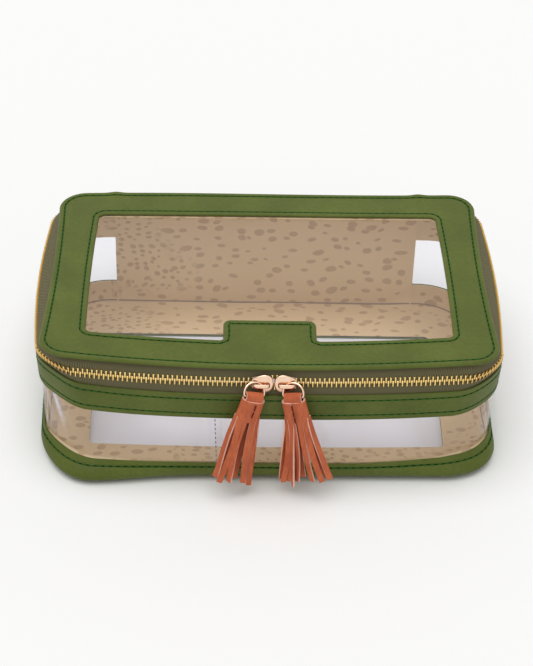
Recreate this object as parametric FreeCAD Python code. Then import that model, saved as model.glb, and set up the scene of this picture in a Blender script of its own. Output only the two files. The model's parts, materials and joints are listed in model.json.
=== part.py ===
import FreeCAD, Part
import math
import os

# A soft zipped case for game tiles: a leather-look cover with clear windows in the lid, the walls and the
# floor, a printed lining, and a double-ended zip whose two pulls carry fringed tassels.
# Millimetres. The origin is on the table at the middle of the base, the front faces -Y and +Z is up.

# The case where it is widest, at the top edge of the upper band
BAND_WIDTH = 265.0
BAND_DEPTH = 176.0
BAND_FRONT_BOW = 7.0
BAND_SIDE_BOW = 3.0
BAND_CORNER_R = 32.0

# The base, set in from the band on each side and at the front
BASE_SIDE_INSET = 2.5
BASE_FRONT_INSET = 4.0
BASE_FRONT_BOW = 2.0
BASE_SIDE_BOW = 1.0
BASE_CORNER_R = 34.0
BASE_EDGE_R = 9.0

# The lid, set in from the band on each side and at the front
LID_SIDE_INSET = 6.5
LID_FRONT_INSET = 2.5
LID_FRONT_BOW = 6.5
LID_SIDE_BOW = 2.0
LID_CORNER_R = 23.0

# Heights, stacked from the table up
LOWER_BAND_H = 13.5
CLEAR_H = 33.5
UPPER_BAND_H = 18.0
LOWER_TAPE_H = 7.3
UPPER_TAPE_H = 7.3

# Materials in layers, from the outside in, with a little air between them
COVER_T = 1.2
SHEET_T = 0.5
LINING_T = 0.5
LAYER_GAP = 0.1

# Windows, measured as the border left round them, and how far a clear sheet or tape runs under the cover
LID_BORDER = 24.0
LID_WINDOW_R = 4.0
TAB_WIDTH = 51.0
TAB_LENGTH = 19.0
TAB_R = 4.0
FLOOR_BORDER = 28.0
FLOOR_BACK_BORDER = 36.0
FLOOR_WINDOW_R = 6.0
SHEET_LAP = 7.0
TAPE_LAP = 6.5

# The back panel, whose seams stand in from the rear corners, and the fold line that the lid turns on
BACK_SEAM_INSET = 4.0
FOLD_GAP = 0.4
BACK_BOARD_MARGIN = 4.0

# The seam of the clear band, to the left of the pulls
SEAM_X = -30.0
SEAM_STRIP_WIDTH = 8.0

# Zip chain
TOOTH_PITCH = 2.54
TOOTH_CLEARANCE = 0.22
TOOTH_SHOULDER = 0.1
TOOTH_DEPTH = 2.2
TOOTH_REACH = 0.7
TOOTH_LEG = 2.7
TOOTH_GRIP = 0.8
CHAIN_END_GAP = 4.0
STOP_LENGTH = 3.0

# Sliders, which meet nose to nose at the front
MEET_X = 2.0
NOSE_GAP = 0.5
SLIDER_LENGTH = 11.5
SLIDER_PLATE_T = 1.0
SLIDER_NOSE_HALF = 1.5
SLIDER_WIDE_AT = 1.0
CHANNEL_CLEARANCE = 0.2
FLANGE_T = 0.5
FLANGE_DEPTH = 0.65
WEDGE_HALF = 0.85
WEDGE_TAIL_HALF = 0.25
WEDGE_LENGTH = 4.0
BRIDGE_LENGTH = 8.4
BRIDGE_BACK = 1.2
BRIDGE_WIDTH = 1.4
BRIDGE_T = 1.1

# Wire rings through the bridges, flat along the bottom where the strap hangs
RING_WIRE_R = 0.6
RING_ARCH_R = 5.6
RING_SIDE_H = 1.8
RING_CORNER_R = 1.3
RING_PLAY = 1.4
RING_LINK_ANGLE = 55.0
RING_LINK_RISE = 0.5
RING_SPLAY = 28.0
LEAN = {"left": 6.0, "right": 2.5}

# Tassels: a folded strap, a rolled head with a stitch through it, and cut strips below
STRAP_T = 1.1
STRAP_CLEARANCE = 0.25
STRAP_DROP = 2.2
HEAD_WIDTH = 12.6
HEAD_DEPTH = 7.0
HEAD_BACK = 3.5
HEAD_H = 16.5
FRINGE_LENGTH = 44.0
FRINGE_COUNT = 14
STRIP_WIDTH = 2.7
STRIP_T = 0.9
STRIP_SINK = 2.0
FAN_WIDTH = 19.0
FAN_DEPTH = 6.6
STITCH_R = 0.4
STITCH_LENGTH = 7.0

# Worked out from the sizes above
SIDES = {"left": -1.0, "right": 1.0}
LOWER_BAND_TOP = LOWER_BAND_H
CLEAR_TOP = LOWER_BAND_TOP + CLEAR_H
BAND_TOP = CLEAR_TOP + UPPER_BAND_H
CHAIN_Z = BAND_TOP + LOWER_TAPE_H
LID_UNDER = CHAIN_Z + UPPER_TAPE_H
SHEET_IN = COVER_T + LAYER_GAP
LINING_IN = SHEET_IN + SHEET_T + LAYER_GAP
WALL_T = LINING_IN + LINING_T
LID_TOP = LID_UNDER + WALL_T
TAPE_MIDDLE = SHEET_IN + SHEET_T / 2
BACK_Y = (BAND_DEPTH - BASE_FRONT_INSET) / 2
BAND_FRONT_Y = BACK_Y - BAND_DEPTH
TOOTH_WIDTH = TOOTH_PITCH / 2 - TOOTH_CLEARANCE
TAPE_EDGE = TOOTH_LEG - TOOTH_GRIP
CHANNEL_HALF = TOOTH_DEPTH / 2 + CHANNEL_CLEARANCE
PARTING = TOOTH_REACH + WEDGE_HALF + CHANNEL_CLEARANCE
SLIDER_REAR_HALF = TOOTH_LEG + CHANNEL_CLEARANCE + FLANGE_T
SLIDER_WIDE_HALF = SLIDER_REAR_HALF + PARTING
BRIDGE_HOLE = 2 * RING_WIRE_R + RING_PLAY
BRIDGE_MIDDLE = CHANNEL_HALF + SLIDER_PLATE_T + BRIDGE_HOLE / 2
STRAP_HALF = RING_ARCH_R - RING_CORNER_R - STRAP_CLEARANCE

UP = FreeCAD.Vector(0, 0, 1)


class Straight:
    """A straight stretch of a plan outline, from one point to another."""

    def __init__(self, start, end):
        self.start = start
        self.end = end

    def point(self, share):
        return tuple(a + (b - a) * share for a, b in zip(self.start, self.end))

    def length(self):
        return math.dist(self.start, self.end)

    def reversed(self):
        return Straight(self.end, self.start)

    def edge(self, z):
        return Part.makeLine(FreeCAD.Vector(*self.start, z), FreeCAD.Vector(*self.end, z))


class Round:
    """A round stretch of a plan outline, by its middle, radius and two angles in degrees."""

    def __init__(self, middle, radius, first, last):
        self.middle = middle
        self.radius = radius
        self.first = first
        self.last = last

    def point(self, share):
        angle = math.radians(self.first + (self.last - self.first) * share)
        return (self.middle[0] + self.radius * math.cos(angle),
                self.middle[1] + self.radius * math.sin(angle))

    def length(self):
        return self.radius * math.radians(abs(self.last - self.first))

    def reversed(self):
        return Round(self.middle, self.radius, self.last, self.first)

    def edge(self, z):
        through = [FreeCAD.Vector(*self.point(share), z) for share in (0, 0.5, 1)]
        return Part.Arc(*through).toShape()


class Outline:
    """Plan outline at one height: bowed front and sides, a straight back and four round corners."""

    def __init__(self, half_width, front_y, back_y, front_bow, side_bow, corner_r):
        self.values = (half_width, front_y, back_y, front_bow, side_bow, corner_r)
        self.back_y = back_y
        self.corner_r = corner_r
        half_depth = (back_y - front_y) / 2
        self.front_r = (half_width ** 2 + front_bow ** 2) / (2 * front_bow)
        self.side_r = (half_depth ** 2 + side_bow ** 2) / (2 * side_bow)
        self.front_middle = (0.0, front_y + self.front_r)
        self.side_middle = (half_width - self.side_r, (front_y + back_y) / 2)
        self.front_corner = meeting_point(self.front_middle, self.front_r - corner_r,
                                          self.side_middle, self.side_r - corner_r)
        rear_y = back_y - corner_r
        reach = self.side_r - corner_r
        rear_x = self.side_middle[0] + math.sqrt(reach ** 2 - (rear_y - self.side_middle[1]) ** 2)
        self.rear_corner = (rear_x, rear_y)

    def right_runs(self, inset, from_x, panel_half):
        """From a point of the front, round the right side, to the edge of the back panel."""
        front_angle = bearing(self.front_middle, self.front_corner)
        side_angle = bearing(self.side_middle, self.front_corner)
        rear_angle = bearing(self.side_middle, self.rear_corner)
        radius = self.front_r - inset
        start = math.degrees(math.asin(from_x / radius)) - 90
        corner = self.corner_r - inset
        y = self.back_y - inset
        return [Round(self.front_middle, radius, start, front_angle),
                Round(self.front_corner, corner, front_angle, side_angle),
                Round(self.side_middle, self.side_r - inset, side_angle, rear_angle),
                Round(self.rear_corner, corner, rear_angle, 90),
                Straight((self.rear_corner[0], y), (panel_half, y))]

    def left_runs(self, inset, to_x, panel_half):
        """From the edge of the back panel, round the left side, to a point of the front."""
        mirrored = []
        for run in reversed(self.right_runs(inset, -to_x, panel_half)):
            if isinstance(run, Straight):
                start, end = [(-x, y) for x, y in (run.end, run.start)]
                mirrored.append(Straight(start, end))
            else:
                middle = (-run.middle[0], run.middle[1])
                mirrored.append(Round(middle, run.radius, 180 - run.last, 180 - run.first))
        return mirrored

    def around(self, inset, panel_half):
        """From the back panel's left edge, round the front, to its right edge."""
        return self.left_runs(inset, 0.0, panel_half) + self.right_runs(inset, 0.0, panel_half)

    def front_run(self, inset, from_x, to_x):
        """A stretch of the bowed front alone."""
        radius = self.front_r - inset
        first, last = [math.degrees(math.asin(x / radius)) - 90 for x in (from_x, to_x)]
        return [Round(self.front_middle, radius, first, last)]

    def plate(self, inset, low, high):
        """A flat plate of this outline between two heights."""
        runs = self.around(inset, 0.0)
        face = Part.Face(Part.Wire([run.edge(low) for run in runs]))
        return face.extrude(UP * (high - low))


def bearing(start, end):
    """Angle in degrees of the line from one plan point to another."""
    return math.degrees(math.atan2(end[1] - start[1], end[0] - start[0]))


def meeting_point(first, first_r, second, second_r):
    """The right-hand front crossing of two plan circles."""
    gap = math.dist(first, second)
    along = (first_r ** 2 - second_r ** 2 + gap ** 2) / (2 * gap)
    aside = math.sqrt(first_r ** 2 - along ** 2)
    ux, uy = [(b - a) / gap for a, b in zip(first, second)]
    crossings = [(first[0] + along * ux + side * aside * uy, first[1] + along * uy - side * aside * ux)
                 for side in (1, -1)]
    return max(crossings, key=lambda point: point[0] - point[1])


BASE = Outline(BAND_WIDTH / 2 - BASE_SIDE_INSET, BAND_FRONT_Y + BASE_FRONT_INSET, BACK_Y,
               BASE_FRONT_BOW, BASE_SIDE_BOW, BASE_CORNER_R)
BAND = Outline(BAND_WIDTH / 2, BAND_FRONT_Y, BACK_Y, BAND_FRONT_BOW, BAND_SIDE_BOW, BAND_CORNER_R)
LID = Outline(BAND_WIDTH / 2 - LID_SIDE_INSET, BAND_FRONT_Y + LID_FRONT_INSET, BACK_Y,
              LID_FRONT_BOW, LID_SIDE_BOW, LID_CORNER_R)
PANEL_HALF = min(line.rear_corner[0] for line in (BASE, BAND, LID)) - BACK_SEAM_INSET


def outline_at(z):
    """Outline of the wall at a height: upright to the lower band's top, then leaning out and in again."""
    if z <= LOWER_BAND_TOP:
        return BASE
    below, above, low, high = BASE, BAND, LOWER_BAND_TOP, BAND_TOP
    if z > BAND_TOP:
        below, above, low, high = BAND, LID, BAND_TOP, LID_UNDER
    share = (z - low) / (high - low)
    return Outline(*[a + (b - a) * share for a, b in zip(below.values, above.values)])


def closed_wire(outer, inner, z):
    """The outline of a strip: along its outer runs, across, back along its inner runs and across."""
    back = [run.reversed() for run in reversed(inner)]
    across = Straight(outer[-1].point(1), back[0].point(0))
    home = Straight(back[-1].point(1), outer[0].point(0))
    return Part.Wire([run.edge(z) for run in outer + [across] + back + [home]])


def wall(heights, outer_in, inner_in, runs_of):
    """A layer of the wall through the given heights; runs_of picks its stretch of an outline."""
    wires = []
    for z in heights:
        outline = outline_at(z)
        wires.append(closed_wire(runs_of(outline, outer_in), runs_of(outline, inner_in), z))
    return Part.makeLoft(wires, True, True)


def whole_run(outline, inset):
    return outline.around(inset, PANEL_HALF)


def rolled_section(outer_in, inner_in, top, place):
    """Upright section of a layer that turns under the base, put in space by its inset and height."""
    ends = []
    for inset in (outer_in, inner_in):
        bend = BASE_EDGE_R - (BASE_EDGE_R - inset) * math.sqrt(0.5)
        ends.append([place(inset, top), place(inset, BASE_EDGE_R), place(bend, bend),
                     place(BASE_EDGE_R, inset)])
    (high_out, start_out, bend_out, end_out), (high_in, start_in, bend_in, end_in) = ends
    return Part.Wire([
        Part.makeLine(high_out, start_out),
        Part.Arc(start_out, bend_out, end_out).toShape(),
        Part.makeLine(end_out, end_in),
        Part.Arc(end_in, bend_in, start_in).toShape(),
        Part.makeLine(start_in, high_in),
        Part.makeLine(high_in, high_out)])


def rolled_band(outer_in, inner_in, top):
    """A layer round the front, sides and rear corners that turns under at the base."""
    path = Part.Wire([run.edge(0) for run in BASE.around(0.0, PANEL_HALF)])
    section = rolled_section(outer_in, inner_in, top,
                             lambda inset, z: FreeCAD.Vector(-PANEL_HALF, BACK_Y - inset, z))
    return path.makePipeShell([section], True, False)


def rolled_back(outer_in, inner_in, top):
    """A layer of the back panel that turns under at the base."""
    half = PANEL_HALF - LAYER_GAP
    section = rolled_section(outer_in, inner_in, top,
                             lambda inset, z: FreeCAD.Vector(-half, BACK_Y - inset, z))
    return Part.Face(section).extrude(FreeCAD.Vector(2 * half, 0, 0))


def back_plate(outer_in, inner_in, low, high, margin):
    """A flat layer of the back between two heights."""
    half = PANEL_HALF - margin
    corner = FreeCAD.Vector(-half, BACK_Y - inner_in, low)
    return Part.makeBox(2 * half, inner_in - outer_in, high - low, corner)


def lid_window_outline(margin):
    """The lid's window, larger than the opening by a margin."""
    half_width, front_y, back_y, front_bow, side_bow, _ = LID.values
    border = LID_BORDER - margin
    return Outline(half_width - border, front_y + border, back_y - border, front_bow, side_bow,
                   LID_WINDOW_R + margin)


def floor_window_outline(margin):
    """The floor's window, larger than the opening by a margin."""
    half_width, front_y, back_y, front_bow, side_bow, _ = BASE.values
    border = FLOOR_BORDER - margin
    return Outline(half_width - border, front_y + border, back_y - FLOOR_BACK_BORDER + margin,
                   front_bow, side_bow, FLOOR_WINDOW_R + margin)


def tab(low, high):
    """The tab that reaches into the lid's window from its front border."""
    root_y = LID.values[1] + LID_BORDER / 2
    tip_y = LID.values[1] + LID_BORDER + TAB_LENGTH
    half = TAB_WIDTH / 2
    block = Part.makeBox(TAB_WIDTH, tip_y - root_y, high - low, FreeCAD.Vector(-half, root_y, low))
    tips = [edge for edge in block.Edges
            if edge.BoundBox.ZLength > (high - low) / 2 and edge.BoundBox.YMin > tip_y - TAB_R]
    return block.makeFillet(TAB_R, tips)


def lid_layer(outer_in, inner_in):
    """A ring of the lid with its tab, between two depths under its top face."""
    low = LID_TOP - inner_in
    high = LID_TOP - outer_in
    ring = LID.plate(0.0, low, high).cut(lid_window_outline(0.0).plate(0.0, low, high))
    return ring.fuse(tab(low, high)).removeSplitter()


def board_ring(outline, hole, low, high):
    """A stiffener round a window sheet."""
    return outline.cut(hole.plate(0.0, low, high))


def chain_path():
    """The zip's runs at the band, the chain and the lid, in the middle of the tape."""
    return [outline_at(z).around(TAPE_MIDDLE, PANEL_HALF) for z in (BAND_TOP, CHAIN_Z, LID_UNDER)]


def chain_start(runs):
    """Distance along the chain from its left end to where the sliders meet."""
    half = len(runs) // 2
    to_middle = sum(run.length() for run in runs[:half])
    return to_middle + runs[half].radius * math.asin(MEET_X / runs[half].radius)


def chain_frame(distance):
    """Place on the chain and its axes: along it, up the tape and outward."""
    low, runs, high = chain_path()
    left = chain_start(runs) + distance
    index = 0
    while left > runs[index].length() and index < len(runs) - 1:
        left -= runs[index].length()
        index += 1
    share = left / runs[index].length()
    step = 0.001
    place = FreeCAD.Vector(*runs[index].point(share), CHAIN_Z)
    ahead = FreeCAD.Vector(*runs[index].point(share + step), CHAIN_Z)
    along = (ahead - place).normalize()
    rise = (FreeCAD.Vector(*high[index].point(share), LID_UNDER)
            - FreeCAD.Vector(*low[index].point(share), BAND_TOP))
    outward = along.cross(rise).normalize()
    return place, along, outward.cross(along), outward


def placed(shape, origin, x_axis, z_axis):
    """A copy of a shape with its own X and Z turned to the given axes."""
    y_axis = z_axis.cross(x_axis)
    columns = (x_axis, y_axis, z_axis, origin)
    rows = [getattr(column, name) for name in ("x", "y", "z") for column in columns]
    matrix = FreeCAD.Matrix(*rows, 0, 0, 0, 1)
    return shape.transformed(matrix, copy=True)


def prism(points, from_y, to_y):
    """An upright outline of X and Z points, given depth along Y."""
    corners = [FreeCAD.Vector(x, from_y, z) for x, z in points]
    face = Part.Face(Part.makePolygon(corners + corners[:1]))
    return face.extrude(FreeCAD.Vector(0, to_y - from_y, 0))


def tooth(turn):
    """One tooth: a head that meshes past the chain's middle and a leg on the tape; turn is 1 or -1."""
    wide = TOOTH_WIDTH / 2
    neck = wide - TOOTH_SHOULDER
    shoulder = TOOTH_REACH + 2 * TOOTH_SHOULDER
    outline = [(-neck, TOOTH_LEG), (neck, TOOTH_LEG), (neck, shoulder), (wide, TOOTH_REACH),
               (wide, -TOOTH_REACH / 2), (neck, -TOOTH_REACH), (-neck, -TOOTH_REACH),
               (-wide, -TOOTH_REACH / 2), (-wide, TOOTH_REACH), (-neck, shoulder)]
    return prism([(x, z * turn) for x, z in outline], -TOOTH_DEPTH / 2, TOOTH_DEPTH / 2)


def parting_at(distance):
    """How far each row stands off the chain's middle: full at the noses, none behind the sliders."""
    rear = NOSE_GAP / 2 + SLIDER_LENGTH
    front = NOSE_GAP / 2 + WEDGE_LENGTH
    share = (rear - abs(distance)) / (rear - front)
    return PARTING * min(1.0, max(0.0, share))


def chain_limits():
    """Distances from the meeting place to the last teeth, near the back panel's left and right seams."""
    runs = chain_path()[1]
    to_meeting = chain_start(runs)
    beyond = sum(run.length() for run in runs) - to_meeting
    margin = CHAIN_END_GAP + STOP_LENGTH + TOOTH_PITCH
    return margin - to_meeting, beyond - margin


def teeth_row(turn):
    """One row of teeth; the lower row sits half a pitch along from the upper."""
    first, last = chain_limits()
    model = tooth(turn)
    offset = 0.0 if turn > 0 else TOOTH_PITCH / 2
    count = int((last - first - offset) / TOOTH_PITCH)
    row = []
    for number in range(count):
        distance = first + offset + number * TOOTH_PITCH
        place, along, rise, _ = chain_frame(distance)
        row.append(placed(model, place + rise * (turn * parting_at(distance)), along, rise))
    return Part.makeCompound(row)


def chain_stops(turn):
    """A clip on the tape's edge past each end of a row of teeth."""
    clips = []
    depth = TOOTH_DEPTH / 2
    corner = FreeCAD.Vector(-STOP_LENGTH / 2, -depth, min(turn * TOOTH_REACH, turn * TOOTH_LEG))
    clip = Part.makeBox(STOP_LENGTH, 2 * depth, TOOTH_LEG - TOOTH_REACH, corner)
    for limit in chain_limits():
        beyond = limit + math.copysign(TOOTH_PITCH + STOP_LENGTH / 2, limit)
        place, along, rise, _ = chain_frame(beyond)
        clips.append(placed(clip, place, along, rise))
    return Part.makeCompound(clips)


def slider_outline(side):
    """Plate outline with its nose towards the meeting place; side is -1 on the left and 1 on the right."""
    rear = SLIDER_LENGTH / 2
    nose = -SLIDER_LENGTH / 2
    bend = (SLIDER_WIDE_AT + nose) / 2
    half = [(rear, SLIDER_REAR_HALF), (-SLIDER_WIDE_AT, SLIDER_WIDE_HALF),
            (-SLIDER_WIDE_AT + bend, (SLIDER_WIDE_HALF + SLIDER_NOSE_HALF) / 2 + TOOTH_REACH),
            (nose, SLIDER_NOSE_HALF)]
    return [(side * x, z) for x, z in half] + [(side * x, -z) for x, z in reversed(half)]


def slider(side):
    """Two plates joined by a wedge at the nose, with flanges that hold the teeth and a bridge outside."""
    plate = slider_outline(side)
    outer = prism(plate, -CHANNEL_HALF - SLIDER_PLATE_T, -CHANNEL_HALF)
    inner = prism(plate, CHANNEL_HALF, CHANNEL_HALF + SLIDER_PLATE_T)
    nose = -SLIDER_LENGTH / 2
    tip = (nose, WEDGE_HALF)
    tail = (nose + WEDGE_LENGTH, WEDGE_TAIL_HALF)
    wedge_points = [tip, tail, (tail[0], -tail[1]), (tip[0], -tip[1])]
    wedge = prism([(side * x, z) for x, z in wedge_points], -CHANNEL_HALF, CHANNEL_HALF)
    solids = [inner, wedge]
    rail = [(SLIDER_LENGTH / 2, SLIDER_REAR_HALF), (-SLIDER_WIDE_AT, SLIDER_WIDE_HALF),
            (-SLIDER_WIDE_AT, SLIDER_WIDE_HALF - FLANGE_T), (SLIDER_LENGTH / 2, SLIDER_REAR_HALF - FLANGE_T)]
    for turn in (1, -1):
        points = [(side * x, turn * z) for x, z in rail]
        for face in (CHANNEL_HALF, -CHANNEL_HALF):
            solids.append(prism(points, face - math.copysign(FLANGE_DEPTH, face), face))
    return outer.multiFuse(solids + [bridge(side)]).removeSplitter()


def bridge(side):
    """The arch on the outer plate that the ring hangs in, along the chain and behind the plate's middle."""
    base = -CHANNEL_HALF - SLIDER_PLATE_T
    start = side * BRIDGE_BACK - BRIDGE_LENGTH / 2
    height = BRIDGE_HOLE + BRIDGE_T
    corner = FreeCAD.Vector(start, base - height, -BRIDGE_WIDTH / 2)
    arch = Part.makeBox(BRIDGE_LENGTH, height, BRIDGE_WIDTH, corner)
    tops = [edge for edge in arch.Edges
            if edge.BoundBox.ZLength > BRIDGE_WIDTH / 2 and edge.BoundBox.YMax < base - BRIDGE_HOLE]
    arch = arch.makeFillet(BRIDGE_T, tops)
    hole_corner = FreeCAD.Vector(start + BRIDGE_T, base - BRIDGE_HOLE, -BRIDGE_WIDTH)
    hole = Part.makeBox(BRIDGE_LENGTH - 2 * BRIDGE_T, BRIDGE_HOLE, 2 * BRIDGE_WIDTH, hole_corner)
    return arch.cut(hole)


def slider_distance(side):
    """Distance along the chain from the meeting place to the middle of a slider."""
    return side * (NOSE_GAP + SLIDER_LENGTH) / 2


def ring_hinge(name):
    """The ring's link in the bridge, the wire's direction there and the ring's axes before it is splayed."""
    side = SIDES[name]
    place, along, rise, outward = chain_frame(slider_distance(side))
    away = along * side
    lean = math.radians(LEAN[name])
    bar = away * math.cos(lean) + rise * math.sin(lean)
    upward = rise * math.cos(lean) - away * math.sin(lean)
    angle = math.radians(RING_LINK_ANGLE)
    wire = bar * math.sin(angle) + upward * math.cos(angle)
    link = place + away * BRIDGE_BACK + outward * BRIDGE_MIDDLE + rise * RING_LINK_RISE
    return link, wire, bar, upward


def ring_frame(name):
    """Middle of a ring's straight bar and its axes along the bar and up the ring, splayed off the chain."""
    link, wire, bar, upward = ring_hinge(name)
    splay = FreeCAD.Rotation(wire, -SIDES[name] * RING_SPLAY)
    bar = splay.multVec(bar)
    upward = splay.multVec(upward)
    angle = math.radians(RING_LINK_ANGLE)
    link_x = -RING_ARCH_R * math.cos(angle)
    link_z = RING_SIDE_H + RING_ARCH_R * math.sin(angle)
    return link - bar * link_x - upward * link_z, bar, upward


def ring(name):
    """A wire ring: a straight bar, small lower corners, upright sides and a round arch."""
    half = RING_ARCH_R
    small = RING_CORNER_R
    bend = small * (1 - math.sqrt(0.5))
    points = {"bar_left": (-half + small, 0), "bar_right": (half - small, 0),
              "right_bend": (half - bend, bend), "right_low": (half, small),
              "right_high": (half, RING_SIDE_H), "top": (0, RING_SIDE_H + RING_ARCH_R),
              "left_high": (-half, RING_SIDE_H), "left_low": (-half, small),
              "left_bend": (-half + bend, bend)}
    at = {key: FreeCAD.Vector(x, 0, z) for key, (x, z) in points.items()}
    path = Part.Wire([
        Part.makeLine(at["bar_left"], at["bar_right"]),
        Part.Arc(at["bar_right"], at["right_bend"], at["right_low"]).toShape(),
        Part.makeLine(at["right_low"], at["right_high"]),
        Part.Arc(at["right_high"], at["top"], at["left_high"]).toShape(),
        Part.makeLine(at["left_high"], at["left_low"]),
        Part.Arc(at["left_low"], at["left_bend"], at["bar_left"]).toShape()])
    section = Part.Wire([Part.makeCircle(RING_WIRE_R, at["bar_left"], FreeCAD.Vector(1, 0, 0))])
    wire = path.makePipeShell([section], True, False)
    return placed(wire, *ring_frame(name))


def tassel_frame(name):
    """Middle of the ring's bar and the tassel's axes: along the bar, and up against its hang."""
    middle, bar, _ = ring_frame(name)
    rise = (UP - bar * bar.dot(UP)).normalize()
    return middle, bar, rise


def strap(name):
    """A strip folded over the ring's bar, with both ends down to the tassel's head."""
    inner = RING_WIRE_R + STRAP_CLEARANCE
    outer = inner + STRAP_T
    width = 2 * STRAP_HALF
    start = FreeCAD.Vector(-STRAP_HALF, 0, 0)
    along = FreeCAD.Vector(1, 0, 0)
    legs = Part.makeBox(width, 2 * outer, STRAP_DROP, start - FreeCAD.Vector(0, outer, STRAP_DROP))
    slot = Part.makeBox(width, 2 * inner, STRAP_DROP, start - FreeCAD.Vector(0, inner, STRAP_DROP))
    fold = Part.makeCylinder(outer, width, start, along)
    eye = Part.makeCylinder(inner, width, start, along)
    folded = fold.fuse(legs).cut(eye.fuse(slot)).removeSplitter()
    return placed(folded, *tassel_frame(name))


def flat_roll(width, depth, top, height):
    """An upright block with round ends, like a flattened roll."""
    radius = depth / 2
    flat = width / 2 - radius
    points = {"a": (-flat, -radius), "b": (flat, -radius), "c": (flat + radius, 0), "d": (flat, radius),
              "e": (-flat, radius), "f": (-flat - radius, 0)}
    at = {key: FreeCAD.Vector(x, y, top - height) for key, (x, y) in points.items()}
    rim = Part.Wire([Part.makeLine(at["a"], at["b"]), Part.Arc(at["b"], at["c"], at["d"]).toShape(),
                     Part.makeLine(at["d"], at["e"]), Part.Arc(at["e"], at["f"], at["a"]).toShape()])
    return Part.Face(rim).extrude(UP * height)


def forward(name):
    """The way the tassel's front faces along its own Y axis."""
    return FreeCAD.Vector(0, -SIDES[name], 0)


def fringe(name):
    """The rolled head and its cut strips, which fan out as they hang."""
    roll_middle = forward(name) * (HEAD_DEPTH / 2 - HEAD_BACK)
    fan_middle = forward(name) * (FAN_DEPTH / 2 - HEAD_BACK)
    head = flat_roll(HEAD_WIDTH, HEAD_DEPTH, -STRAP_DROP, HEAD_H).translated(roll_middle)
    root_z = -STRAP_DROP - HEAD_H + STRIP_SINK
    tip_z = -STRAP_DROP - HEAD_H - FRINGE_LENGTH
    strips = []
    for number in range(FRINGE_COUNT):
        turn = 2 * math.pi * (number + 0.5) / FRINGE_COUNT
        root = FreeCAD.Vector((HEAD_WIDTH - STRIP_WIDTH) / 2 * math.cos(turn),
                              (HEAD_DEPTH - STRIP_T) / 2 * math.sin(turn), root_z)
        tip = FreeCAD.Vector(FAN_WIDTH / 2 * math.cos(turn),
                             (FAN_DEPTH - STRIP_T) / 2 * math.sin(turn), tip_z)
        strips.append(strip(root + roll_middle, tip + fan_middle))
    tassel = head.multiFuse(strips).removeSplitter()
    return placed(tassel, *tassel_frame(name))


def strip(root, tip):
    """A flat strip between two level ends, as wide along X as it is cut."""
    wires = []
    for end in (root, tip):
        corners = [end + FreeCAD.Vector(x * STRIP_WIDTH / 2, y * STRIP_T / 2, 0)
                   for x, y in ((-1, -1), (1, -1), (1, 1), (-1, 1))]
        wires.append(Part.makePolygon(corners + corners[:1]))
    return Part.makeLoft(wires, True, True)


def tassel_stitch(name):
    """The thread that holds the roll, an upright stitch sunk half its thickness into the head's front."""
    foot = forward(name) * (HEAD_DEPTH - HEAD_BACK) - UP * (STRAP_DROP + (HEAD_H + STITCH_LENGTH) / 2)
    bar = Part.makeCylinder(STITCH_R, STITCH_LENGTH, foot, UP)
    return placed(bar, *tassel_frame(name))


def base_pieces():
    """The floor and the lower band with their layers."""
    floor_in = BASE_EDGE_R + LAYER_GAP
    sheet_top = SHEET_IN + SHEET_T
    window = floor_window_outline(SHEET_LAP)
    opening = floor_window_outline(0.0)
    return {
        "bottom_frame": board_ring(BASE.plate(floor_in, 0, COVER_T), opening, 0, COVER_T),
        "bottom_stiffener": board_ring(BASE.plate(floor_in, SHEET_IN, sheet_top),
                                       floor_window_outline(SHEET_LAP + LAYER_GAP), SHEET_IN, sheet_top),
        "bottom_window": window.plate(0.0, SHEET_IN, sheet_top),
        "bottom_lining": board_ring(BASE.plate(floor_in, LINING_IN, WALL_T), opening, LINING_IN, WALL_T),
        "lower_band": rolled_band(0.0, COVER_T, LOWER_BAND_TOP),
        "lower_band_lining": rolled_band(LINING_IN, WALL_T, LOWER_BAND_TOP)}


def wall_pieces():
    """The clear band and the upper band with its lining."""
    clear_heights = (BASE_EDGE_R, LOWER_BAND_TOP, CLEAR_TOP + SHEET_LAP)
    band_heights = (CLEAR_TOP, BAND_TOP)
    strip_heights = (LOWER_BAND_TOP + LAYER_GAP, CLEAR_TOP - LAYER_GAP)
    strip_ends = (SEAM_X - SEAM_STRIP_WIDTH / 2, SEAM_X + SEAM_STRIP_WIDTH / 2)
    left_end = SEAM_X - LAYER_GAP / 2
    right_end = SEAM_X + LAYER_GAP / 2
    sheet_out = SHEET_IN + SHEET_T
    return {
        "clear_band_left": wall(clear_heights, SHEET_IN, sheet_out,
                                lambda line, inset: line.left_runs(inset, left_end, PANEL_HALF)),
        "clear_band_right": wall(clear_heights, SHEET_IN, sheet_out,
                                 lambda line, inset: line.right_runs(inset, right_end, PANEL_HALF)),
        "clear_band_seam_strip": wall(strip_heights, COVER_T - SHEET_T, COVER_T,
                                      lambda line, inset: line.front_run(inset, *strip_ends)),
        "upper_band": wall(band_heights, 0.0, COVER_T, whole_run),
        "upper_band_lining": wall(band_heights, LINING_IN, WALL_T, whole_run)}


def back_pieces():
    """The back panel up to the fold line, and the flap from the fold line to the lid."""
    fold_low = CHAIN_Z - FOLD_GAP / 2
    fold_high = CHAIN_Z + FOLD_GAP / 2
    flap_top = LID_UNDER - LAYER_GAP
    board_top = fold_low - BACK_BOARD_MARGIN
    board_out = SHEET_IN + SHEET_T
    return {
        "back_panel": rolled_back(0.0, COVER_T, fold_low),
        "back_stiffener": back_plate(SHEET_IN, board_out, BASE_EDGE_R, board_top, BACK_BOARD_MARGIN),
        "back_lining": rolled_back(LINING_IN, WALL_T, fold_low),
        "hinge_flap": back_plate(0.0, COVER_T, fold_high, flap_top, LAYER_GAP),
        "hinge_flap_lining": back_plate(LINING_IN, WALL_T, fold_high, flap_top, LAYER_GAP)}


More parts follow.
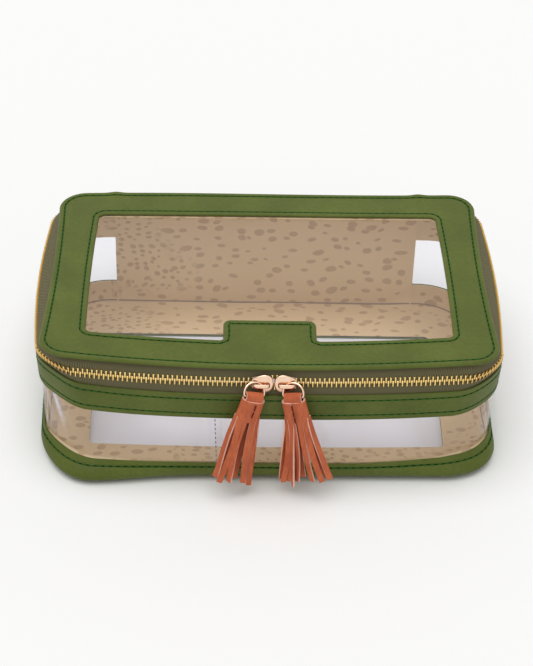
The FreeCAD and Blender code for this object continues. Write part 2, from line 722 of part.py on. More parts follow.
def lid_pieces():
    """The lid's layers and its window."""
    sheet_in = SHEET_IN + SHEET_T
    low = LID_TOP - sheet_in
    high = LID_TOP - SHEET_IN
    board_hole = lid_window_outline(SHEET_LAP + LAYER_GAP)
    return {
        "lid_frame": lid_layer(0.0, COVER_T),
        "lid_stiffener": board_ring(LID.plate(LAYER_GAP, low, high), board_hole, low, high),
        "lid_window": lid_window_outline(SHEET_LAP).plate(0.0, low, high),
        "lid_lining": lid_layer(LINING_IN, WALL_T)}


def zip_pieces():
    """Both tapes, both rows of teeth and their stops."""
    lower = (BAND_TOP - TAPE_LAP, BAND_TOP, CHAIN_Z - TAPE_EDGE)
    upper = (CHAIN_Z + TAPE_EDGE, LID_UNDER - LAYER_GAP)
    sheet_out = SHEET_IN + SHEET_T
    return {
        "zipper_tape_lower": wall(lower, SHEET_IN, sheet_out, whole_run),
        "zipper_tape_upper": wall(upper, SHEET_IN, sheet_out, whole_run),
        "zipper_teeth_lower": teeth_row(-1),
        "zipper_teeth_upper": teeth_row(1),
        "zipper_stops_lower": chain_stops(-1),
        "zipper_stops_upper": chain_stops(1)}


def pull_pieces(name):
    """One slider with its ring and tassel."""
    side = SIDES[name]
    place, along, rise, _ = chain_frame(slider_distance(side))
    return {
        f"slider_{name}": placed(slider(side), place, along, rise),
        f"pull_ring_{name}": ring(name),
        f"tassel_strap_{name}": strap(name),
        f"tassel_fringe_{name}": fringe(name),
        f"tassel_stitch_{name}": tassel_stitch(name)}


def main():
    os.makedirs("parts", exist_ok=True)
    pieces = {}
    for group in (base_pieces(), wall_pieces(), back_pieces(), lid_pieces(), zip_pieces(),
                  pull_pieces("left"), pull_pieces("right")):
        pieces.update(group)
    for name, shape in pieces.items():
        shape.exportStep(f"parts/{name}.step")
        print(name, len(shape.Solids), round(shape.Volume, 1), shape.isValid())


if __name__ == "__main__":
    main()
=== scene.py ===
# %% [markdown]
# # A soft zipped case for game tiles
# The CAD model is the skeleton here: it fixes the size, the layers and the joints. Blender adds what a
# rigid solid can't show: leather that rolls at its edges, thread, printed cloth, clear vinyl and metal.
# Every shape below is a surface worked out with numpy in millimetres, and becomes metres at the very end.

# %% Load the frame
import json
import math
from collections import namedtuple

import bmesh
import bpy
import numpy as np
from mathutils import Matrix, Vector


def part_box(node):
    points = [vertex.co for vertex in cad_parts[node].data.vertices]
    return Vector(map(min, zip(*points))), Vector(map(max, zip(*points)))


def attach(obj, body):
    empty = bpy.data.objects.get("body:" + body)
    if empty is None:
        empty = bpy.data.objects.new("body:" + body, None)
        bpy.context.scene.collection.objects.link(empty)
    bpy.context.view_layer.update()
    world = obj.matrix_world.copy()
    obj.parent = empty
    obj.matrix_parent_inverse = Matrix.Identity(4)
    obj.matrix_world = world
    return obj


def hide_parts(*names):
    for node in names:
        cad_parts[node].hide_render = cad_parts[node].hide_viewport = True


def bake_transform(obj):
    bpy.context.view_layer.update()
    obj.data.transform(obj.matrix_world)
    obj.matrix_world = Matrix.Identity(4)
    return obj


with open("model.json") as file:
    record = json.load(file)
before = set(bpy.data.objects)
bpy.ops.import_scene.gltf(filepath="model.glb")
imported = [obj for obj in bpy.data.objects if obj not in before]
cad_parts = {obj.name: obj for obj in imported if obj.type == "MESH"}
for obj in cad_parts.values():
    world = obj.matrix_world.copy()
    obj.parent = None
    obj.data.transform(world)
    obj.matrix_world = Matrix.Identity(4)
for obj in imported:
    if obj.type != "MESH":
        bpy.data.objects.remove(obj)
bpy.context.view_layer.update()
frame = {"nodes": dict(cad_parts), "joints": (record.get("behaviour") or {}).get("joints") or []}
joints = {joint["name"]: joint for joint in frame["joints"]}

# %% [markdown]
# ## The camera
# A product photo is taken from a few steps away with a long lens, so the sides hardly converge. The
# camera's place and focal length were found by projecting the case's edges until they met the picture,
# which also showed that it stood a little to the left and was held off level by less than two degrees.
# Its three directions make the rotation matrix, and that is easier to read than a set of turns in a fixed
# order.

# %% Place the camera
MM = 0.001
PICTURE_HEIGHT_PX = 666
FOCAL_PX = 1817.0
SENSOR_MM = 36.0
CAMERA_AZIMUTH = math.radians(-1.6)
CAMERA_ELEVATION = math.radians(36.48)
CAMERA_ROLL = math.radians(1.68)
CAMERA_DISTANCE = 1060.1
CAMERA_TARGET = np.array([-0.3, 0.0, 40.35])

camera = bpy.data.objects.new("photo_camera", bpy.data.cameras.new("photo_camera"))
camera.data.sensor_width = SENSOR_MM
camera.data.lens = SENSOR_MM * FOCAL_PX / PICTURE_HEIGHT_PX
level = np.array([math.cos(CAMERA_AZIMUTH), math.sin(CAMERA_AZIMUTH), 0.0])
towards = np.array([math.sin(CAMERA_AZIMUTH), -math.cos(CAMERA_AZIMUTH), 0.0])
backwards = towards * math.cos(CAMERA_ELEVATION) + np.array([0.0, 0.0, math.sin(CAMERA_ELEVATION)])
upright = np.cross(backwards, level)
right = level * math.cos(CAMERA_ROLL) + upright * math.sin(CAMERA_ROLL)
camera.location = (CAMERA_TARGET + backwards * CAMERA_DISTANCE) * MM
camera.rotation_euler = Matrix(np.stack([right, np.cross(backwards, right), backwards], axis=1)).to_euler()
bpy.context.scene.collection.objects.link(camera)
bpy.context.scene.camera = camera
print("lens", round(camera.data.lens, 1), "mm at", [round(value, 3) for value in camera.location])

# %% [markdown]
# ## Shader arithmetic
# A finish is a graph of nodes, and graphs are tedious to wire by hand. One small class wraps an output
# socket, so that `1 - mask` or `grain * 0.3` adds the Math node that it stands for. Anything that isn't
# arithmetic goes through one method, which sets a node's own settings before it fills the sockets.


# %% Sockets that do arithmetic
class Shade:
    """An output socket of a node tree. Arithmetic on it adds Math nodes to the same tree."""

    def __init__(self, tree, socket=None):
        self.tree = tree
        self.socket = socket

    def node(self, kind, settings=None, inputs=None, output=0):
        """Adds a node, sets its settings, then fills its sockets with values or links."""
        made = self.tree.nodes.new(kind)
        for key, value in (settings or {}).items():
            setattr(made, key, value)
        for key, value in (inputs or {}).items():
            if isinstance(value, Shade):
                self.tree.links.new(value.socket, made.inputs[key])
            else:
                made.inputs[key].default_value = value
        return Shade(self.tree, made.outputs[output] if len(made.outputs) else None)

    def math(self, operation, first, second=0.0):
        """A Math node for two values."""
        return self.node("ShaderNodeMath", {"operation": operation}, {0: first, 1: second})

    def __add__(self, other):
        return self.math("ADD", self, other)

    def __radd__(self, other):
        return self.math("ADD", other, self)

    def __sub__(self, other):
        return self.math("SUBTRACT", self, other)

    def __rsub__(self, other):
        return self.math("SUBTRACT", other, self)

    def __mul__(self, other):
        return self.math("MULTIPLY", self, other)

    def __rmul__(self, other):
        return self.math("MULTIPLY", other, self)

    def apart(self, other):
        """How far two values are apart, without a sign."""
        return self.math("ABSOLUTE", self - other)

    def sine(self):
        """The sine of this value, in radians."""
        return self.math("SINE", self)

    def axis(self, number):
        """One coordinate of this vector."""
        return self.node("ShaderNodeSeparateXYZ", None, {0: self}, number)

    def place(self):
        """A point's place in the object, in metres."""
        return self.node("ShaderNodeTexCoord", output="Object")

    def flat(self):
        """A point's place on the piece's flat map, in metres."""
        return self.node("ShaderNodeUVMap", {"uv_map": "flat"})

    def step(self, low, high):
        """Rises smoothly from 0 at low to 1 at high, or falls where low is the larger."""
        settings = {"interpolation_type": "SMOOTHSTEP"}
        return self.node("ShaderNodeMapRange", settings, {"Value": self, "From Min": low, "From Max": high})

    def mix(self, first, second):
        """The first colour where this value is 0, and the second where it is 1."""
        return self.node("ShaderNodeMix", {"data_type": "RGBA"}, {0: self, 6: first, 7: second}, 2)

    def noise(self, scale, detail=2.0):
        """Soft noise from 0 to 1 read at this vector, scale times per metre."""
        return self.node("ShaderNodeTexNoise", None, {"Vector": self, "Scale": scale, "Detail": detail})

    def stretched(self, x, y, z=1.0):
        """This vector multiplied axis by axis."""
        return self.node("ShaderNodeVectorMath", {"operation": "MULTIPLY"}, {0: self, 1: (x, y, z)})

    def bump(self, distance, strength=1.0):
        """A normal that treats this value as a height, distance metres for each 1."""
        sockets = {"Height": self, "Distance": distance, "Strength": strength}
        return self.node("ShaderNodeBump", None, sockets)


print("shader arithmetic ready")


# %% Materials and colours
def new_finish(name):
    """An empty material and the wrapper that adds nodes to it."""
    material = bpy.data.materials.new(name)
    material.use_nodes = True
    material.node_tree.nodes.clear()
    return material, Shade(material.node_tree)


def surface(nodes, **sockets):
    """A Principled shader sent to the material's output; names use _ where the socket has a space."""
    inputs = {key.replace("_", " "): value for key, value in sockets.items()}
    shader = nodes.node("ShaderNodeBsdfPrincipled", None, inputs)
    nodes.node("ShaderNodeOutputMaterial", None, {"Surface": shader})


def colour(red, green, blue):
    """A written screen colour, 0 to 255, as the linear values that Blender's sockets take."""
    screen = np.array([red, green, blue]) / 255.0
    linear = np.where(screen <= 0.04045, screen / 12.92, ((screen + 0.055) / 1.055) ** 2.4)
    return (*linear.tolist(), 1.0)


print("mid grey is", [round(value, 3) for value in colour(128, 128, 128)])

# %% [markdown]
# ## Studio
# The object stands on a white sweep under a large soft box, so its shadow is only a grey breath round the
# base. A sun lamp with a wide angle gives that softness at any distance, and an even world fills the
# sides. Camera, glossy and transmission rays see a plain white world, so metal and vinyl reflect a white
# studio.

# %% Floor, world and lamp
FLOOR_HALF_M = 4.0
FLOOR_DROP_M = 0.0002
FLOOR_COLOUR = (0.975, 0.975, 0.97, 1.0)
WORLD_LEVEL = 0.5
BACKDROP_LEVEL = 0.95
SUN_LEVEL = 1.58
SUN_SOFTNESS = math.radians(55.0)
SUN_TILT = (math.radians(8.0), math.radians(-6.0), 0.0)
CLEAR_FACES_DEEP = 24

bpy.context.scene.view_settings.view_transform = "Standard"
bpy.context.scene.cycles.transparent_max_bounces = CLEAR_FACES_DEEP
floor_mesh = bpy.data.meshes.new("floor")
floor_corners = [(x * FLOOR_HALF_M, y * FLOOR_HALF_M, 0.0) for x, y in ((-1, -1), (1, -1), (1, 1), (-1, 1))]
floor_mesh.from_pydata(floor_corners, [], [(0, 1, 2, 3)])
floor = bpy.data.objects.new("floor", floor_mesh)
floor.location.z = -FLOOR_DROP_M
bpy.context.scene.collection.objects.link(floor)
floor_finish, floor_nodes = new_finish("white_sweep")
surface(floor_nodes, Base_Color=FLOOR_COLOUR, Roughness=0.9, Specular_IOR_Level=0.0)
floor_mesh.materials.append(floor_finish)

world = bpy.data.worlds.new("studio")
bpy.context.scene.world = world
world.use_nodes = True
world.node_tree.nodes.clear()
sky = Shade(world.node_tree)
rays = [sky.node("ShaderNodeLightPath", None, None, kind)
        for kind in ("Is Camera Ray", "Is Glossy Ray", "Is Transmission Ray")]
seen = rays[0].math("MAXIMUM", rays[0], rays[1].math("MAXIMUM", rays[1], rays[2]))
strength = WORLD_LEVEL + seen * (BACKDROP_LEVEL - WORLD_LEVEL)
background = sky.node("ShaderNodeBackground", None, {"Color": (1.0, 1.0, 1.0, 1.0), "Strength": strength})
sky.node("ShaderNodeOutputWorld", None, {"Surface": background})

sun = bpy.data.objects.new("soft_box", bpy.data.lights.new("soft_box", "SUN"))
sun.data.energy = SUN_LEVEL
sun.data.angle = SUN_SOFTNESS
sun.rotation_euler = SUN_TILT
bpy.context.scene.collection.objects.link(sun)
print("a level white face gets at most", round(WORLD_LEVEL + SUN_LEVEL / math.pi, 2))

# %% [markdown]
# ## The plan of the case
# Seen from above, the case is a rounded oblong with a bowed front and sides and a straight back, and it
# swells a little from the base to the zip. One function gives a point of that outline for a parameter
# called turn, so every layer of the wall, from the vinyl to the lining, is the same formula at another
# inset.

# %% Sizes read from the frame
LOW, HIGH = 0, 1
X, Y, Z = 0, 1, 2


def measure(node, corner, axis):
    """One coordinate of the low or the high corner of a CAD node's box, in millimetres."""
    return round(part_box(node)[corner][axis] / MM, 2)


LOWER_TOP = measure("lower_band", HIGH, Z)
CLEAR_TOP = measure("upper_band", LOW, Z)
BAND_TOP = measure("upper_band", HIGH, Z)
LID_UNDER = measure("lid_lining", LOW, Z)
LID_TOP = measure("lid_frame", HIGH, Z)
CHAIN_Z = joints["lid_fold"]["pos_m"][Z] / MM
BACK_Y = measure("back_panel", HIGH, Y)
PANEL_HALF = measure("back_panel", HIGH, X) + 0.1

# Half width, front, back, bow of the front, bow of the sides and corner radius, at four heights
BASE_LINE = (measure("lower_band", HIGH, X), measure("lower_band", LOW, Y), BACK_Y, 2.0, 1.0, 34.0)
BAND_LINE = (measure("upper_band", HIGH, X), measure("upper_band", LOW, Y), BACK_Y, 7.0, 3.0, 32.0)
LID_LINE = (measure("lid_frame", HIGH, X), measure("lid_frame", LOW, Y), BACK_Y, 9.8, 2.0, 16.0)
CHAIN_LINE = ((BAND_LINE[0] + LID_LINE[0]) / 2, (BAND_LINE[1] + LID_LINE[1]) / 2, BACK_Y, 6.75, 2.5, 24.0)
LINE_HEIGHTS = (LOWER_TOP, BAND_TOP, CHAIN_Z, LID_UNDER)
BASE_ROLL = 9.0
COVER_INSET = 0.6
SHEET_INSET = 1.55
LINING_INSET = 2.15
print("base", BASE_LINE, "band", BAND_LINE, "lid", LID_LINE)

# %% The outline as a function
# The turn at which the outline has come round to the back's seam
LAST_TURN = 5.0


def outline(sizes, turn, inset=0.0, seam=0.0):
    """A plan point for turn from -5 to 5: 0 to 1 is half the front, then the front corner, the side, the
    rear corner and the straight back as far as seam. A stretch is centre + (radius - inset) * (cos, sin)
    of an angle that runs evenly; the corner's centre is where circles inside the front and side cross.
    The left half mirrors the right. Also gives the outward direction."""
    half, front, back, front_bow, side_bow, corner = sizes
    front_r = (half ** 2 + front_bow ** 2) / (2 * front_bow)
    half_depth = (back - front) / 2
    side_r = (half_depth ** 2 + side_bow ** 2) / (2 * side_bow)
    front_y = front + front_r
    side_x = half - side_r
    side_y = (front + back) / 2
    gap = np.hypot(side_x, side_y - front_y)
    to_side = (side_x / gap, (side_y - front_y) / gap)
    along = ((front_r - corner) ** 2 - (side_r - corner) ** 2 + gap ** 2) / (2 * gap)
    aside = np.sqrt((front_r - corner) ** 2 - along ** 2)
    corner_x = along * to_side[0] - aside * to_side[1]
    corner_y = front_y + along * to_side[1] + aside * to_side[0]
    rear_y = back - corner
    rear_x = side_x + np.sqrt((side_r - corner) ** 2 - (rear_y - side_y) ** 2)
    bends = (-np.pi / 2, np.arctan2(corner_y - front_y, corner_x),
             np.arctan2(corner_y - side_y, corner_x - side_x),
             np.arctan2(rear_y - side_y, rear_x - side_x), np.pi / 2)
    t = np.abs(turn)
    stretch = [t < number for number in (1, 2, 3, 4)]
    spans = [bends[n] + (bends[n + 1] - bends[n]) * (t - n) for n in range(4)]
    angle = np.select(stretch, spans, np.pi / 2)
    centre_x = np.select(stretch, [0 * t, corner_x, side_x, rear_x], rear_x + (seam - rear_x) * (t - 4))
    centre_y = np.select(stretch, [front_y, corner_y, side_y, rear_y], rear_y)
    radius = np.select(stretch, [front_r, corner, side_r, corner], corner) - inset
    side = np.where(np.asarray(turn) < 0, -1.0, 1.0)
    out_x = np.cos(angle)
    out_y = np.sin(angle)
    return side * (centre_x + radius * out_x), centre_y + radius * out_y, side * out_x, out_y


def sizes_at(z):
    """The six numbers of the outline at a height, in straight lines between the four given ones."""
    lines = zip(BASE_LINE, BAND_LINE, CHAIN_LINE, LID_LINE)
    return [np.interp(z, LINE_HEIGHTS, column) for column in lines]


print("the zip's outline is", np.round(sizes_at(CHAIN_Z), 1))

# %% [markdown]
# ## How a soft case stands
# A sewn case doesn't keep to its pattern. Its wall goes slack between firm edges, its corners are cut
# short above and pushed out below, the zip bellies at the sides and the whole stands with a slight twist.
# A cloth simulation would find some such pose, but not this one, so each habit is a small function that
# moves the plan by a few millimetres.


# %% Slack and corners
def bell(value, middle, width):
    """A smooth hump, exp(-((value - middle) / width)^2): 1 at the middle, next to 0 two widths from it."""
    return np.exp(-((value - middle) / width) ** 2)


def by_side(turn, left, right):
    """One number on the left half of the wall and another on the right."""
    return np.where(np.asarray(turn) < 0, left, right)


def height_share(z):
    """How far up the soft wall a height is: 0 at the lower band's top and 1 at the upper band's."""
    return np.clip((z - LOWER_TOP) / (BAND_TOP - LOWER_TOP), 0, 1)


def slack(x, y, z):
    """How far the soft wall stands in between its firm edges: a hump over the height times slow waves."""
    waves = 0.55 + 0.3 * np.sin(x / 19.0 + 0.6) * np.cos(y / 23.0) + 0.2 * np.sin(x / 41.0 - y / 29.0)
    return np.sin(np.pi * height_share(z)) ** 2 * waves


# Where along the wall and how wide
PULL_BELL = (1.5, 0.55)
PULL_HEIGHTS = (0.0, 5.0, 9.0, LOWER_TOP, CLEAR_TOP, BAND_TOP, CHAIN_Z, LID_UNDER)
PULL_IN = (0.4, 0.4, 2.0, 5.0, 5.7, 5.5, 3.0, 0.0)
LEFT_SHARE = 1.3
RIGHT_SHARE = 0.95


def corner_pull(turn, z):
    """How far a front corner is drawn in: a bell round the middle of the corner times an amount for the
    height, because the soft wall cuts the corner."""
    near = bell(np.abs(turn), *PULL_BELL) * by_side(turn, LEFT_SHARE, RIGHT_SHARE)
    return near * np.interp(z, PULL_HEIGHTS, PULL_IN)


# Where along the wall, how wide, and how far out at each of the heights
PUSH_HEIGHTS = (0.0, 6.0, LOWER_TOP, CLEAR_TOP)
LEFT_CORNER_OUT = (-1.08, 0.42, (8.0, 6.8, 0.8, 0.0))
RIGHT_CORNER_OUT = (1.6, 0.42, (3.8, 3.4, 0.0, 0.0))
RIGHT_FRONT_IN = (1.08, 0.35, (0.0, 0.0, -4.0, 0.0))


def base_push(turn, z):
    """How far the base stands out of its plan: three bells along the wall, each with amounts by height.
    Both front corners are squarer on the floor, and the right one is drawn in above it."""
    pushes = (LEFT_CORNER_OUT, RIGHT_CORNER_OUT, RIGHT_FRONT_IN)
    return sum(bell(turn, middle, width) * np.interp(z, PUSH_HEIGHTS, amounts)
               for middle, width, amounts in pushes)


print("at the window's top the front corners come in by",
      np.round(corner_pull(np.array([-1.5, 1.5]), CLEAR_TOP), 1), "mm")

# %% Zip, lid and twist
TOOTH_LEG = 2.6
SWELL_BELL = (2.6, 0.75)
SWELL_HEIGHTS = (CLEAR_TOP, BAND_TOP, CHAIN_Z, CHAIN_Z + TOOTH_LEG, LID_UNDER)
SWELL_OUT = (0.0, 0.0, 3.0, 3.9, 0.0)
LEFT_SWELL = 1.05
RIGHT_SWELL = 0.95
LID_DRAW = 2.8


def side_swell(turn, z):
    """How far the zip bellies out at the sides: a bell round the middle of a side, by height."""
    near = bell(np.abs(turn), *SWELL_BELL) * by_side(turn, LEFT_SWELL, RIGHT_SWELL)
    return near * np.interp(z, SWELL_HEIGHTS, SWELL_OUT)


def lid_draw(turn):
    """How far the zip draws the lid's rim in between its corners: a parabola along each side."""
    along_side = np.clip(np.abs(turn) - 2.0, 0, 1)
    return LID_DRAW * 4 * along_side * (1 - along_side)


TWIST = 1.6
REAR_RISE = 4.0
RISE_HEIGHTS = (4.0, LOWER_TOP, CLEAR_TOP, BAND_TOP)
RISE_FROM_Y = -60.0
RISE_FULL_Y = 80.0


def lean(x, y, z):
    """How a soft case stands: it twists, so two opposite corners rise and two sink, and at the back, where
    the base doesn't roll under, the edges of the clear band stand higher than at the front."""
    rise = np.interp(z, RISE_HEIGHTS, (0.0, REAR_RISE, REAR_RISE, 0.0))
    rearward = np.clip((y - RISE_FROM_Y) / (RISE_FULL_Y - RISE_FROM_Y), 0, 1)
    return TWIST * height_share(z) * (x / LID_LINE[0]) ** 3 * y / BACK_Y + rise * rearward ** 2


print("the zip stands out by", np.round(side_swell(np.array([-2.6, 2.6]), CHAIN_Z), 1), "mm at the sides")

# %% Points of the wall
SLACK_FADE = 0.6
WALL_STEP = 2.0


def stacked(*parts):
    """Points, or places on a flat map, from coordinates that are broadcast to one shape."""
    return np.stack(np.broadcast_arrays(*parts), axis=-1)


def rim(turn, z, inset=0.0):
    """A point of the wall at a turn and a height, inset from the outer face and moved by its softness."""
    x, y, out_x, out_y = outline(sizes_at(z), turn, inset, PANEL_HALF)
    inward = slack(x, y, z) * np.clip((LAST_TURN - np.abs(turn)) / SLACK_FADE, 0, 1) + corner_pull(turn, z)
    near_lid = np.clip((z - CHAIN_Z - TOOTH_LEG) / (LID_UNDER - CHAIN_Z - TOOTH_LEG), 0, 1)
    inward = inward - side_swell(turn, z) - base_push(turn, z) + lid_draw(turn) * near_lid
    return stacked(x - out_x * inward, y - out_y * inward, z + lean(x, y, z))


def run_of(points):
    """Distance along a row of points, from 0 at the first."""
    steps = np.linalg.norm(np.diff(points, axis=0), axis=1)
    return np.concatenate([[0.0], np.cumsum(steps)])


def even_turns(start, end, step, z=BAND_TOP):
    """Turns that divide a stretch of the wall into equal lengths, and those lengths from the front."""
    fine = np.linspace(start, end, 6001)
    run = run_of(rim(fine, z))
    even = np.linspace(0.0, run[-1], int(round(run[-1] / step)) + 1)
    front = np.interp(0.0, fine, run)
    return np.interp(even, run, fine), even - front


def turn_at(x):
    """The turn on the front at which the wall reaches a given x."""
    fine = np.linspace(-1.0, 1.0, 2001)
    return float(np.interp(x, rim(fine, BAND_TOP)[:, 0], fine))


wall_turns, wall_runs = even_turns(-LAST_TURN, LAST_TURN, WALL_STEP)
print("the wall runs", round(wall_runs[-1] - wall_runs[0]), "mm in", len(wall_turns), "columns")

# %% [markdown]
# ## From grids to meshes
# A sheet is a grid of points with two faces. Blender could thicken it with a Solidify modifier, but
# working the second layer out here lets the cut edge take a finish of its own. Small things that repeat,
# such as teeth and stitches, are one shape carried to many places in a single broadcast sum.

# %% Shells: points, faces and a flat map
# Points in millimetres, groups of faces with the number of their finish, and places on the flat map
Shell = namedtuple("Shell", "points groups flat")


def grid_faces(rows, columns, closed=False):
    """Four-sided faces between neighbouring rows and columns; closed joins the last column to the first."""
    index = np.arange(rows * columns).reshape(rows, columns)
    if closed:
        index = np.concatenate([index, index[:, :1]], axis=1)
    corners = (index[:-1, :-1], index[:-1, 1:], index[1:, 1:], index[1:, :-1])
    return np.stack(corners, axis=-1).reshape(-1, 4)


def unit(vectors):
    """The same directions, each of length 1."""
    return vectors / np.linalg.norm(vectors, axis=-1, keepdims=True)


def grid_normals(points, closed=False):
    """The cross product of a grid's two directions at each point."""
    down = np.gradient(points, axis=0)
    if closed:
        across = np.roll(points, -1, axis=1) - np.roll(points, 1, axis=1)
    else:
        across = np.gradient(points, axis=1)
    return unit(np.cross(down, across))


def thick_sheet(points, thickness, flat, closed=False, edge=0):
    """A sheet of even thickness: the grid moved half of it each way along its normal, with a border strip
    between the two layers. Edge is the number of the finish that the border takes."""
    rows, columns = points.shape[:2]
    count = rows * columns
    lift = grid_normals(points, closed) * thickness / 2
    both = np.concatenate([(points + lift).reshape(-1, 3), (points - lift).reshape(-1, 3)])
    faces = grid_faces(rows, columns, closed)
    index = np.arange(count).reshape(rows, columns)
    if closed:
        wrapped = np.concatenate([index, index[:, :1]], axis=1)
        rings = [wrapped[0], wrapped[-1]]
    else:
        rings = [index[0], index[-1], index[:, 0], index[:, -1]]
    border = [np.stack([ring[:-1], ring[1:], ring[1:] + count, ring[:-1] + count], axis=-1)
              for ring in rings]
    groups = [(faces, 0), (faces[:, ::-1] + count, 0), (np.concatenate(border), edge)]
    return Shell(both, groups, np.tile(flat.reshape(-1, 2), (2, 1)))


def loft(sections):
    """A closed form through rings of points, with a flat face at each end. Its flat map goes from 0 to 1
    along the form and from 0 to 1 around it."""
    stations, sides = sections.shape[:2]
    ends = np.arange(stations * sides).reshape(stations, sides)[[0, -1]]
    along = np.repeat(np.linspace(0, 1, stations), sides)
    around = np.tile(np.arange(sides) / sides, stations)
    groups = [(grid_faces(stations, sides, True), 0), (ends, 0)]
    return Shell(sections.reshape(-1, 3), groups, np.stack([along, around], axis=-1) / MM)


print("a grid of 3 by 4 points has", len(grid_faces(3, 4)), "faces")


# %% Shells joined, moved and repeated
def joined(shells):
    """One shell from several: the faces of each count on from the points before it."""
    starts = np.cumsum([0] + [len(shell.points) for shell in shells])
    groups = [(faces + start, finish)
              for shell, start in zip(shells, starts) for faces, finish in shell.groups]
    return Shell(np.concatenate([shell.points for shell in shells]), groups,
                 np.concatenate([shell.flat for shell in shells]))


def placed(shell, origin, axes):
    """A shell moved into the frame: origin + x, y and z times the three axes."""
    return shell._replace(points=np.asarray(origin) + shell.points @ np.stack(axes))


def repeated(shell, origins, axes):
    """A shell carried to many places at once; axes holds three directions for each place."""
    count = len(origins)
    points = origins[:, None, :] + np.einsum("pk,nkc->npc", shell.points, axes)
    starts = np.arange(count)[:, None, None] * len(shell.points)
    groups = [((faces[None] + starts).reshape(-1, faces.shape[1]), finish)
              for faces, finish in shell.groups]
    return Shell(points.reshape(-1, 3), groups, np.tile(shell.flat, (count, 1)))


def ring_of(sides, power=1.0):
    """A ring as (cos, sin), each raised to a power with its sign kept: 1 is round, less is squarer."""
    angle = 2 * np.pi * (np.arange(sides) + 0.5) / sides
    circle = np.stack([np.cos(angle), np.sin(angle)], axis=-1)
    return np.sign(circle) * np.abs(circle) ** power


print("a ring of four points:", np.round(ring_of(4), 2).tolist())

# %% A mesh object from a shell
SHARP_ANGLE = math.radians(38.0)


def add_piece(name, shell, finishes, body=None, stands_for=()):
    """A mesh object with its normals turned outward, its flat map in metres, its finishes and its body."""
    mesh = bpy.data.meshes.new(name)
    faces = [face for group, _ in shell.groups for face in group.tolist()]
    mesh.from_pydata((shell.points * MM).tolist(), [], faces)
    edit = bmesh.new()
    edit.from_mesh(mesh)
    bmesh.ops.recalc_face_normals(edit, faces=edit.faces)
    edit.to_mesh(mesh)
    edit.free()
    corner = np.empty(len(mesh.loops), dtype=np.int32)
    mesh.loops.foreach_get("vertex_index", corner)
    flat_map = mesh.uv_layers.new(name="flat")
    flat_map.data.foreach_set("uv", (shell.flat[corner] * MM).astype(np.float32).ravel())
    for finish in finishes:
        mesh.materials.append(finish)
    numbers = np.concatenate([np.full(len(group), number) for group, number in shell.groups])
    mesh.polygons.foreach_set("material_index", numbers.astype(np.int32))
    mesh.shade_smooth()
    mesh.set_sharp_from_angle(angle=SHARP_ANGLE)
    piece = bpy.data.objects.new(name, mesh)
    bpy.context.scene.collection.objects.link(piece)
    if body:
        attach(piece, body)
    if stands_for:
        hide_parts(*stands_for)
    print(name, len(mesh.polygons), "faces")
    return piece


print("mesh helpers ready")

# %% [markdown]
# ## Cover leather
# The cover is a coated cloth pressed with a fine pebble, olive green with a low sheen. A photo texture
# would carry that grain, but would blur or repeat up close. A cell pattern about 0.8 mm across gives the
# pebbles, and slow noise shifts tone and gloss, because a coating never takes the light quite evenly.


# %% Green cover
def cover_leather():
    """Pebble height is the smoothed distance to cell centres; tone follows slow noise and the pebbles."""
    material, nodes = new_finish("cover_leather")
    place = nodes.place()
    cells = {"Vector": place, "Scale": 1300.0, "Smoothness": 0.7}
    pebble = nodes.node("ShaderNodeTexVoronoi", {"feature": "SMOOTH_F1"}, cells)
    patch = place.noise(38.0, 3.0)
    mottle = place.noise(420.0, 2.0)
    tone = (patch * 0.75 + mottle * 0.35 - pebble * 0.25).step(0.1, 0.95)
    surface(nodes, Base_Color=tone.mix(colour(80, 91, 33), colour(104, 115, 52)),
            Roughness=0.42 + 0.16 * patch, Specular_IOR_Level=0.18,
            Normal=(pebble * -0.6 + mottle * 0.5).bump(0.0002, 0.55))
    return material


green_cover = cover_leather()
print("finish:", green_cover.name)

# %% [markdown]
# ## Printed lining
# The lining is a beige woven cloth with a scatter of soft brown ovals, a common animal-spot print.
# Painting the spots one by one would fix them to one panel, so a cell pattern on the flat map places one
# oval in each cell, with a size of its own. A slow mask changes between large, loose spots and small,
# close ones.


# %% Spotted cloth
def spot_layer(flat, per_metre, size):
    """Ovals: 1 where the distance to the cell's centre is under a size that differs from cell to cell."""
    sockets = {"Vector": flat, "Scale": per_metre, "Randomness": 0.75}
    settings = {"voronoi_dimensions": "2D"}
    cell = flat.node("ShaderNodeTexVoronoi", settings, sockets, "Color")
    distance = flat.node("ShaderNodeTexVoronoi", settings, sockets, "Distance")
    luck = cell.node("ShaderNodeSeparateColor", None, {"Color": cell})
    return (luck * size * 0.7 + size * 0.62 - distance).step(-0.03, 0.06)


def spotted_cloth():
    """Two sizes of spots, warped by noise and parted by a slow mask, over a plain weave."""
    material, nodes = new_finish("spotted_cloth")
    flat = nodes.flat()
    sway = nodes.node("ShaderNodeTexNoise", None, {"Vector": flat, "Scale": 30.0, "Detail": 1.0}, "Color")
    centred = nodes.node("ShaderNodeVectorMath", {"operation": "SUBTRACT"}, {0: sway, 1: (0.5, 0.5, 0.5)})
    moved = nodes.node("ShaderNodeVectorMath", {"operation": "MULTIPLY_ADD"},
                       {0: centred, 1: (0.014, 0.014, 0.0), 2: flat})
    close = flat.noise(9.0, 1.0).step(0.53, 0.6)
    large = spot_layer(moved.stretched(0.78, 1.2), 112.0, 0.235)
    small = spot_layer(moved.stretched(0.85, 1.1), 195.0, 0.28)
    spots = large * (1 - close) + small * close
    weave = (flat.axis(0) * 7800.0).sine() * (flat.axis(1) * 7800.0).sine()
    fade = flat.noise(16.0, 3.0)
    ground = fade.mix(colour(226, 198, 152), colour(234, 208, 165))
    print_tone = flat.noise(240.0, 2.0).mix(colour(190, 154, 114), colour(202, 168, 129))
    surface(nodes, Base_Color=(spots * 0.78).mix(ground, print_tone), Roughness=0.78 + 0.1 * fade,
            Specular_IOR_Level=0.25, Normal=weave.bump(0.00006, 0.5))
    return material


